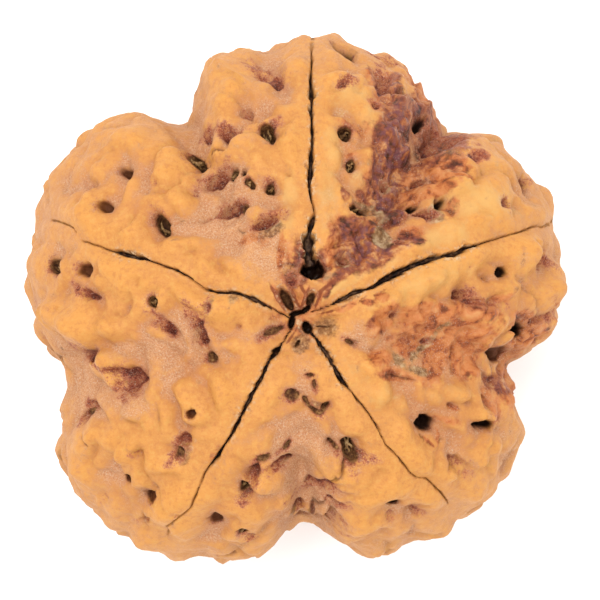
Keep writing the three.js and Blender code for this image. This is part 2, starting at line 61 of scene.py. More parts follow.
# The fissures on the face, from the middle outwards: x, y and the width of the mouth.
fissures = {
    "top": [
        [0.1, 0.4, -0.1], [0.5, 1.6, -0.1], [0.48, 1.9, 0.46], [0.4, 2.9, 0.56], [0.36, 3.4, 0.42],
        [0.5, 3.9, 0.22], [0.6, 4.3, 0.05], [0.5, 4.8, 0.07], [0.42, 5.4, 0.2], [0.46, 6.2, 0.24],
        [0.55, 7.2, 0.2], [0.5, 7.8, 0.1], [0.48, 8.3, 0.14], [0.52, 8.9, 0.26], [0.46, 9.6, 0.1],
        [0.5, 10.2, 0.08], [0.52, 11.1, 0.03],
    ],
    "left": [
        [-0.4, 0.2, 0.08], [-1.0, 0.52, 0.05], [-1.77, 0.9, 0.18], [-2.3, 1.1, 0.13], [-3.0, 1.17, 0.1],
        [-3.55, 1.24, 0.1], [-3.72, 1.3, 0.03], [-4.2, 1.72, 0.04], [-4.83, 2.04, 0.07], [-5.5, 2.3, 0.05],
        [-5.96, 2.43, 0.12], [-6.5, 2.6, 0.18], [-7.0, 2.73, 0.16], [-7.3, 2.8, 0.07], [-7.9, 3.0, 0.03],
        [-8.44, 3.17, 0.02], [-8.6, 3.4, -0.05], [-8.75, 3.68, 0.02], [-9.2, 3.86, 0.03],
        [-9.7, 4.02, 0.02], [-9.9, 4.1, -0.05],
    ],
    "lowerLeft": [
        [-0.26, -0.25, 0.08], [-0.6, -0.8, 0.04], [-0.92, -1.22, 0.2], [-1.2, -1.6, 0.12],
        [-1.5, -2.2, 0.14], [-1.9, -2.9, 0.2], [-2.25, -3.6, 0.16], [-2.6, -4.3, 0.12], [-3.0, -4.9, 0.08],
        [-3.3, -5.4, 0.12], [-3.72, -5.95, 0.05], [-3.92, -6.6, 0.045], [-4.12, -7.05, 0.05],
        [-4.6, -7.42, 0.04], [-4.98, -7.66, 0.03], [-5.12, -8.1, 0.02], [-5.2, -8.6, -0.04],
    ],
    "lowerRight": [
        [0.3, -0.25, 0.24], [0.7, -0.75, 0.08], [1.1, -1.25, 0.22], [1.35, -1.7, 0.14], [1.6, -2.15, 0.22],
        [1.8, -2.5, 0.24], [2.0, -2.65, 0.06], [2.5, -3.3, 0.05], [2.99, -4.03, 0.06], [3.42, -4.79, 0.03],
        [3.64, -5.01, 0.05], [4.18, -5.66, 0.04], [4.57, -6.01, 0.03], [4.95, -6.07, 0.04],
        [5.49, -6.59, 0.04], [5.77, -6.97, 0.02], [5.95, -7.3, -0.04],
    ],
    "right": [
        [0.35, 0.35, -0.02], [0.8, 0.5, 0.03], [1.3, 0.68, 0.06], [1.75, 0.95, 0.14], [2.2, 1.2, 0.16],
        [2.7, 1.3, 0.1], [3.3, 1.6, 0.22], [3.9, 1.95, 0.3], [4.6, 2.25, 0.26], [5.3, 2.5, 0.2],
        [6.0, 2.65, 0.24], [6.6, 2.9, 0.22], [7.0, 3.05, 0.06], [7.7, 3.25, 0.04], [8.6, 3.5, 0.03],
        [9.2, 3.76, 0.05], [9.5, 3.72, 0.02], [10.2, 4.1, 0.03],
    ],
}
back_fissures = {
    "first": 105, "last": 175, "step": 10, "narrow": 0.03, "wide": 0.22,
    "sway": math.radians(4), "sway_length": 9, "sway_shift": 1.7,
}

# A fissure: how its middle line wanders and how ragged its walls are, each as layers of noise with a
# height, a size and a shift, and then where its walls, depth, fill and pale edges begin and end.
slit = {
    "wander": ((0.05, 0.8, 3.1), (0.025, 0.24, 7.7)), "ragged": ((0.8, 0.45, 11.3), (0.5, 0.18, 12.9)),
    "usual": 0.9, "narrowest": 0.02, "rounding": 0.012, "wall": (0.55, 1.1), "shut": (-0.02, 0.01),
    "off_middle": (0.3, 0.45), "shallow": 0.3, "deeper": 1.1, "faint": 0.55, "plain": (0.02, 0.1),
    "core": (0.3, 0.75), "packed": (0.09, 0.17), "edge": 0.14, "edged": (0, 0.2),
}
lip = {"lift": 0.28, "out": 0.6, "spread": 0.65, "lost_at_rim": 0.5, "off_middle": (0.5, 2.5)}

# The relief between fissures: furrows that wind between the ridges, and a net of low ridges.
furrow = {
    "depth": 0.34, "width": 0.13, "size": 1.7, "shift": 15.5, "on_face": 0.65,
    "off_middle": (3.0, 5.5), "off_fissure": (0.3, 1.0),
}
net = {
    "height": 0.38, "level": 0.22, "size": 1.0, "shift": 8.8, "on_face": 1.9,
    "off_middle": (1.6, 3.4), "off_fissure": (0.2, 0.9),
}
bending = {"by": 0.5, "size": 1.6, "shifts": (21.3, 33.7, 45.1)}
relief_lost_at_rim = 0.4
skin_grain = ((0.06, 1.3, 1.7), (0.06, 0.6, 2.9), (0.03, 0.32, 4.7))
grain_off_fissure = (0.05, 0.4)
flakes = {"height": 0.3, "level": 0.25, "size": 0.5, "shift": 4.3, "fine": ((0.12, 0.22, 6.1),), "shown": 2}
torn_middle = {"rough": 0.6, "edge": (1.0, 2.2)}
widest = {"down": math.radians(84), "band": math.radians(22)}
sag_shade = 0.65

# Pits and hollows on the face, by kind: x, y, length, width, turn of the length in degrees, depth.
face_pits = {
    "black": [
        [5.1, -4.12, 0.86, 0.6, 5, 1.1], [0.54, -7.5, 0.46, 0.42, 0, 1.0],
        [7.33, -4.1, 0.74, 0.4, 15, 0.9], [3.8, -7.3, 0.52, 0.4, 0, 0.7], [8.27, 2.05, 0.42, 0.44, 0, 0.8],
        [8.74, -0.28, 0.74, 0.74, 0, 1.1], [4.8, 7.98, 0.54, 0.32, 5, 0.7],
        [4.55, 4.56, 0.36, 0.28, 0, 0.7], [5.5, 4.6, 0.3, 0.4, 0, 0.7], [0.55, 2.08, 1.0, 0.8, -10, 1.5],
        [-0.3, 0.0, 0.6, 0.26, 78, 0.9], [-0.12, 0.36, 0.6, 0.24, 12, 0.9],
        [0.32, -0.22, 0.56, 0.4, -60, 1.0], [-0.93, -1.16, 0.42, 0.3, 30, 0.6],
        [0.26, 0.5, 0.56, 0.22, 40, 0.8], [-2.2, 6.05, 0.26, 0.26, 0, 0.6],
    ],
    "brown": [
        [-6.85, 5.96, 0.54, 0.42, 0, 0.7], [-8.6, 2.12, 0.76, 0.52, 15, 0.8],
        [-4.4, -3.75, 0.44, 0.4, 0, 0.7], [-7.77, 4.62, 0.42, 0.54, 0, 0.6],
        [-6.95, -6.37, 0.46, 0.38, 0, 0.6], [-6.02, -7.08, 0.66, 0.4, 20, 0.7],
        [-3.33, -7.98, 0.58, 0.5, 30, 0.6], [8.0, -1.26, 0.95, 0.8, -15, 0.8],
        [5.9, 7.6, 0.6, 0.24, -50, 0.4],
    ],
    "fibrous": [
        [-5.52, 3.92, 1.0, 0.56, -61, 0.9], [-1.24, 7.52, 0.8, 0.56, -55, 0.8],
        [-4.12, 6.5, 0.95, 0.45, -35, 0.9], [-1.98, 5.62, 0.5, 0.3, -35, 0.45],
        [-2.62, 6.02, 0.5, 0.34, 30, 0.6], [-1.16, 5.32, 0.46, 0.38, 0, 0.5],
        [-5.9, 0.85, 0.48, 0.5, 0, 0.7], [-2.13, -6.5, 0.5, 0.46, 75, 0.6],
        [1.95, -5.0, 1.1, 0.6, -78, 0.5], [1.84, 7.64, 0.62, 0.46, 10, 0.8],
        [2.4, 4.54, 0.9, 0.42, 5, 0.8], [2.07, 6.3, 0.46, 0.56, 0, 0.5], [-9.78, 2.24, 0.5, 0.7, 20, 0.7],
        [-2.27, -8.42, 0.36, 0.26, 0, 0.35],
    ],
    "thread": [
        [-4.8, -5.25, 0.6, 0.4, 40, 0.35], [-0.25, -2.92, 0.8, 0.5, -20, 0.3],
        [-1.1, -0.38, 1.2, 0.34, 22, 0.3], [-2.16, 4.6, 0.4, 0.3, 50, 0.4],
        [-1.5, -5.5, 0.7, 0.4, 30, 0.4], [-0.52, -4.98, 0.6, 0.3, 50, 0.3],
        [0.3, -3.2, 0.75, 0.24, -58, 0.3], [0.68, -3.6, 0.6, 0.26, -25, 0.4],
        [1.02, -3.45, 0.65, 0.26, 58, 0.4], [0.45, -2.15, 0.4, 0.2, 10, 0.3],
        [0.62, -2.5, 0.6, 0.2, 95, 0.3], [1.4, -4.95, 0.7, 0.24, -25, 0.3],
        [2.05, -0.8, 0.6, 0.3, -25, 0.3], [-3.54, -1.42, 0.6, 0.4, -40, 0.35],
        [-8.35, -3.6, 0.5, 0.26, 50, 0.3],
    ],
    "tunnel": [[-0.48, 0.88, 1.1, 0.4, -60, 0.8], [0.46, 0.92, 0.6, 0.32, 62, 0.7]],
    "scar": [
        [-4.6, -4.75, 0.6, 0.6, 0, 0.35], [8.34, 4.77, 0.6, 0.45, -20, 0.4],
        [3.75, 0.3, 0.4, 0.3, 0, 0.25], [5.0, -0.75, 0.4, 0.24, 0, 0.15], [4.85, 5.6, 0.5, 0.34, 0, 0.35],
        [3.4, 5.4, 0.3, 0.5, 10, 0.35], [1.8, 2.45, 0.5, 0.4, 0, 0.3], [4.1, 3.2, 0.5, 0.3, -30, 0.25],
    ],
    "mauve": [
        [6.3, 1.08, 0.8, 0.46, -10, 0.5], [-1.95, -8.62, 0.4, 0.28, 0, 0.3],
        [-3.2, 5.7, 1.5, 0.5, 20, 0.6], [-1.05, 8.0, 0.6, 0.32, 15, 0.15],
        [-1.1, 5.66, 0.5, 0.26, 0, 0.12], [2.5, -5.35, 0.8, 0.4, -10, 0.35],
        [-3.7, 7.44, 0.6, 0.34, 30, 0.3], [-2.72, 7.32, 1.0, 0.6, -20, 0.5],
        [-1.2, 9.75, 1.3, 0.6, -25, 0.4], [-2.65, 4.4, 1.4, 0.52, 22, 0.5],
        [-1.3, 4.0, 1.4, 0.46, 22, 0.45], [-8.5, 1.16, 1.0, 0.36, -30, 0.45],
        [-5.38, -0.12, 1.1, 0.4, -50, 0.3], [-3.95, -0.3, 1.8, 0.6, -72, 0.45],
        [-3.77, 0.58, 0.6, 0.5, 40, 0.3], [-6.6, -2.35, 1.1, 1.1, 0, 0.6],
        [-8.4, -1.26, 1.1, 0.6, -30, 0.5], [-7.5, -1.95, 1.1, 0.3, -20, 0.35],
        [-8.24, -3.3, 0.6, 0.34, -60, 0.4], [-8.55, -3.8, 0.6, 0.3, 50, 0.3],
        [-1.8, -6.05, 1.1, 0.5, 62, 0.6], [-0.85, -5.7, 1.4, 0.36, 8, 0.5],
        [-2.15, -7.0, 0.5, 0.35, 0, 0.25], [9.62, 2.5, 0.9, 0.45, -50, 0.3],
        [9.6, 0.1, 0.9, 0.28, 25, 0.25], [3.3, 9.4, 1.1, 0.7, 80, 0.35], [3.04, 8.66, 0.5, 0.3, -20, 0.3],
        [5.45, 6.9, 1.7, 0.9, -33, 0.7], [7.1, 6.62, 0.7, 0.36, 0, 0.15], [5.1, 4.3, 0.7, 0.5, -20, 0.5],
        [2.55, -5.5, 0.6, 0.36, -10, 0.3], [0.77, -6.5, 1.6, 0.5, 8, 0.4],
        [-0.05, -7.23, 0.4, 0.3, 0, 0.35], [1.5, -7.2, 0.9, 0.3, -5, 0.3], [1.9, 9.75, 0.7, 0.3, 20, 0.3],
        [9.07, 5.57, 0.35, 0.34, 0, 0.3], [-0.28, 1.67, 0.6, 0.5, 30, 0.2], [7.4, 0.8, 1.4, 0.3, -8, 0.25],
    ],
    "tan": [
        [6.55, -5.9, 1.1, 0.7, -30, 0.6], [1.5, -8.05, 1.2, 0.8, -15, 0.6],
        [7.65, -3.4, 1.1, 0.4, 110, 0.4], [-4.28, 5.16, 0.45, 0.3, 0, 0.22],
        [-2.1, 8.36, 0.5, 0.6, 60, 0.45], [-8.28, 5.52, 0.6, 0.5, 0, 0.15],
        [-5.84, 5.6, 0.4, 0.24, 0, 0.12], [-9.9, 0.5, 0.3, 0.25, 0, 0.15],
        [-2.4, -0.15, 0.22, 0.22, 0, 0.12], [-6.64, -5.3, 0.5, 0.22, -40, 0.2],
        [-6.18, -7.83, 0.7, 0.25, 0, 0.3], [-4.98, -7.76, 0.4, 0.2, 0, 0.15],
        [-7.92, -7.08, 0.6, 0.4, 0, 0.14], [6.08, -3.32, 0.5, 0.2, -20, 0.22],
        [3.65, -7.79, 0.44, 0.3, 0, 0.2], [4.81, -7.63, 0.6, 0.3, 10, 0.2],
        [7.39, 1.72, 0.18, 0.18, 0, 0.18], [6.88, 2.24, 0.2, 0.2, 0, 0.1],
    ],
    "crease": [
        [1.75, -5.9, 0.8, 0.16, 75, 0.3], [1.35, -6.35, 0.8, 0.14, 30, 0.25],
        [-3.28, 6.86, 0.9, 0.14, 25, 0.2], [-8.57, -4.77, 0.6, 0.15, -60, 0.18],
        [-0.3, -7.7, 0.9, 0.14, 60, 0.15], [1.0, -0.18, 0.72, 0.1, -3, 0.4],
        [-0.06, -0.86, 0.4, 0.16, 60, 0.5], [4.08, -2.2, 1.8, 0.14, -12, 0.15],
        [4.0, 9.1, 0.7, 0.12, -70, 0.15], [-2.3, 3.6, 0.5, 0.12, -20, 0.1],
        [5.0, -4.7, 0.8, 0.1, -45, 0.12], [5.55, -4.75, 0.5, 0.1, 65, 0.12],
        [0.6, -7.15, 1.4, 0.14, 8, 0.15],
    ],
}

# What each kind of pit is like: the share of its mouth where the wall begins on the side of the seed's rim,
# the share of its depth lost on that side, and how strong its painted floor shade, brown walls, fibres,
# stained rim with painted shade, dished surround and pale ring are.
pit_looks = ("steep", "slope", "floor_shade", "brown", "fibre", "rim", "funnel", "ring")
pit_kinds = {
    "black": (0.6, 0.1, 1.0, 0.4, 0.0, 0.45, 0.9, 0.2),
    "brown": (0.4, 0.3, 0.4, 1.0, 0.0, 0.6, 0.7, 0.3),
    "fibrous": (0.45, 0.2, 0.45, 0.5, 1.0, 0.8, 0.6, 0.4),
    "thread": (0.1, 0.7, 0.0, 0.4, 0.8, 1.0, 0.5, 0.2),
    "tunnel": (0.6, 0.0, 0.4, 0.4, 0.7, 0.9, 0.3, 1.0),
    "scar": (0.2, 0.4, 0.0, 0.5, 0.0, 0.9, 0.4, 0.5),
    "mauve": (0.1, 0.6, 0.12, 0.3, 0.0, 0.86, 0.3, 0.15),
    "tan": (0.1, 0.6, 0.0, 0.25, 0.0, 0.4, 0.3, 0.1),
    "crease": (0.2, 0.0, 0.4, 0.4, 0.0, 0.3, 0.0, 0.3),
}

# Smooth knobs and ridges that stand out of the face, and the valleys between its lobes, in the same way.
face_lumps = [
    [-0.2, 10.9, 1.6, 1.4, 0, 0.15], [1.4, 10.9, 2.0, 1.5, -20, 0.25], [2.8, 10.4, 1.6, 1.2, -30, 0.3],
    [3.8, 10.2, 1.4, 1.2, -40, 0.3], [-2.6, 10.1, 2.4, 1.3, 20, 0.35], [-3.5, 9.7, 1.4, 1.6, 0, 0.3],
    [-1.8, 9.2, 1.6, 1.2, 0, 0.25], [-3.0, 8.9, 1.6, 1.2, 60, 0.25], [2.1, 9.2, 1.8, 1.3, 0, 0.25],
    [4.1, 9.1, 2.0, 0.9, 100, 0.3], [-1.4, 6.4, 1.7, 1.3, 0, 0.2], [-2.9, 6.7, 2.2, 0.9, 25, 0.25],
    [-6.6, 7.1, 2.0, 1.1, -10, 0.3], [-7.8, 7.4, 1.6, 1.3, 30, 0.3], [-6.7, 8.1, 3.0, 1.1, 5, 0.3],
    [-5.1, 6.3, 1.6, 2.0, 30, 0.3], [-4.8, 5.0, 2.2, 1.4, 20, 0.25], [-9.8, 5.5, 1.4, 1.6, 0, 0.2],
    [-8.9, 6.5, 1.6, 1.4, 45, 0.3], [-8.2, 4.2, 2.4, 1.2, 10, 0.25], [6.7, 6.9, 2.4, 1.0, -20, 0.3],
    [7.8, 7.1, 1.6, 1.2, -20, 0.3], [8.1, 6.1, 1.6, 1.3, 0, 0.25], [9.4, 5.7, 1.4, 1.4, 0, 0.2],
    [7.1, 5.2, 3.0, 1.2, -15, 0.35], [7.0, 4.3, 2.8, 1.2, 10, 0.25], [9.7, 4.4, 1.4, 1.4, 0, 0.15],
    [5.6, 5.4, 1.8, 0.7, -10, 0.25], [5.2, 8.1, 1.6, 0.7, -50, 0.3], [2.9, 3.9, 1.4, 1.0, 0, 0.3],
    [6.0, 2.1, 3.4, 1.3, 20, 0.3], [4.1, 1.0, 2.5, 1.1, 25, 0.25], [8.1, 1.5, 1.4, 1.2, 0, 0.25],
    [8.9, 2.7, 1.6, 1.4, 0, 0.3], [10.1, 1.6, 1.2, 1.6, 0, 0.35], [9.6, 0.9, 1.4, 1.2, 0, 0.3],
    [9.9, -0.1, 1.4, 1.2, 40, 0.3], [9.0, -1.0, 1.6, 0.9, 30, 0.3], [7.6, 0.2, 1.8, 1.1, -20, 0.2],
    [7.3, -3.5, 0.8, 0.7, 0, 0.3], [8.2, -3.3, 1.8, 0.8, -70, 0.3], [8.8, -4.4, 1.6, 1.4, 0, 0.35],
    [7.5, -5.1, 2.4, 1.5, 0, 0.3], [7.2, -6.4, 1.6, 1.3, 0, 0.3], [6.8, -7.3, 1.4, 1.2, 0, 0.15],
    [5.6, -7.9, 2.2, 1.1, 20, 0.15], [4.4, -5.1, 2.2, 1.4, -40, 0.2], [5.9, -2.9, 2.0, 1.1, 0, 0.2],
    [1.4, -5.9, 1.8, 1.4, 0, 0.3], [2.8, -6.4, 2.8, 1.5, 0, 0.3], [2.5, -8.2, 2.2, 1.4, 0, 0.3],
    [3.2, -9.1, 2.0, 1.2, 10, 0.35], [-1.1, -6.3, 1.4, 1.2, 0, 0.3], [-2.0, -7.6, 2.6, 1.4, 10, 0.3],
    [-2.9, -9.2, 1.6, 1.2, 0, 0.35], [-1.5, -8.8, 1.8, 1.2, 20, 0.3], [-4.7, -9.0, 1.8, 1.2, 0, 0.3],
    [-4.0, -8.1, 1.6, 1.2, 0, 0.2], [-6.4, -3.9, 1.6, 1.3, 0, 0.25], [-6.3, -4.9, 2.4, 1.1, 20, 0.3],
    [-8.0, -4.6, 1.7, 1.4, 0, 0.3], [-9.4, -5.0, 1.5, 1.9, 0, 0.35], [-8.4, -5.9, 1.6, 1.3, 0, 0.3],
    [-5.9, -5.9, 1.8, 1.2, 0, 0.2], [-4.9, -7.0, 2.2, 1.3, 20, 0.35], [-7.2, -8.0, 1.0, 1.4, 0, 0.4],
    [-8.2, -7.0, 1.4, 1.1, -30, 0.25], [-5.9, -8.5, 1.6, 1.0, -20, 0.25], [-7.0, 1.7, 2.6, 1.4, -15, 0.25],
    [-5.0, 0.9, 2.0, 1.1, -10, 0.2], [-2.8, 0.6, 1.6, 1.0, 0, 0.2], [-8.2, 0.0, 3.0, 1.7, 0, 0.3],
    [-9.8, 0.4, 1.4, 1.8, 0, 0.3], [-7.4, -1.5, 1.3, 0.9, 0, 0.35], [-5.7, -2.6, 1.4, 1.6, 0, 0.25],
    [-3.8, -3.0, 3.0, 2.2, 40, 0.2], [-10.2, 2.2, 1.2, 1.8, 0, 0.3], [-9.3, -3.4, 1.4, 1.4, 0, 0.25],
    [-0.12, 0.95, 0.8, 0.22, -58, 0.18], [0.22, 1.0, 0.6, 0.2, 72, 0.16], [1.3, 0.32, 1.0, 0.3, 8, 0.14],
    [7.2, -3.66, 0.7, 0.6, 0, 0.2], [-7.6, -4.2, 1.2, 1.0, 0, 0.15], [-6.2, -6.1, 1.0, 0.9, 0, 0.15],
]
face_valleys = [
    [-4.0, 5.4, 5.6, 2.6, 128, 0.5], [4.3, 5.6, 6.4, 3.2, 55, 0.85], [5.4, -1.2, 5.2, 2.8, -15, 0.5],
    [0.3, -5.6, 5.2, 2.4, 92, 0.6], [-5.2, -1.5, 5.6, 2.8, 15, 0.3],
]
valley_fade = 1.3
lump_shape = {"face": 1.4, "rim": 1.0, "steep": 1.1, "power": 3}

# Where the photo doesn't show the seed, pits and knobs are spread by a seeded draw.
back_pits = {
    "count": 230, "stray": 0.1, "smallest": 0.65, "largest": 1.3, "slimmest": 0.6, "narrower": 0.75,
    "shallowest": 0.5, "deepest": 0.9, "to_fissure": 0.45, "seed": 41, "from": math.radians(76),
    "kinds": ("black", "brown", "mauve", "tan", "brown"),
    "length": 0.95, "longer": {"mauve": 1.25, "tan": 1.25},
}
back_knobs = {
    "count": 330, "stray": 0.13, "smallest": 1.4, "largest": 2.3, "slimmest": 0.65,
    "lowest": 0.2, "highest": 0.5, "seed": 77, "lost_at_rim": 0.45, "steep": 1.3, "power": 2.4,
}
face_fades = (0.75 * math.radians(53), 1.2 * math.radians(53))
rim_down = math.radians(88)
spot_reach = 2.4
spot_height = 0.8

# A pit's walls and marks, counted in its own half widths. Where there are two values for a mark's strength,
# the first holds on the side of the seed's middle and the second on the side of its rim.
pit_wall = {
    "wobble": ((0.24, 0.5, 5.5), (0.22, 0.2, 9.1)), "round_under": 0.6, "round_share": 0.3,
    "held": 0.4, "loose": 1.3, "inner_from": 0.75, "inner_to": 1.0, "outer_to": 1.2, "mouth_from": 0.3,
    "side_width": 0.9, "sided_from": 3, "inner_shade": 0.4,
    "dish": 0.3, "dish_from": 0.4, "dish_off_fissure": (0.1, 0.9),
    # The stain is darkest on a pit's steep inner wall: real maroon stain there, with painted shade over it.
    "stain": (1.15, 0.12), "spread": (0.3, 0.6), "spread_over": (0.6, 2.4),
    "ring_at": 1.25, "ring_width": 0.2,
}
pit_upright = 3.0
upright_over = (math.radians(60), math.radians(85))

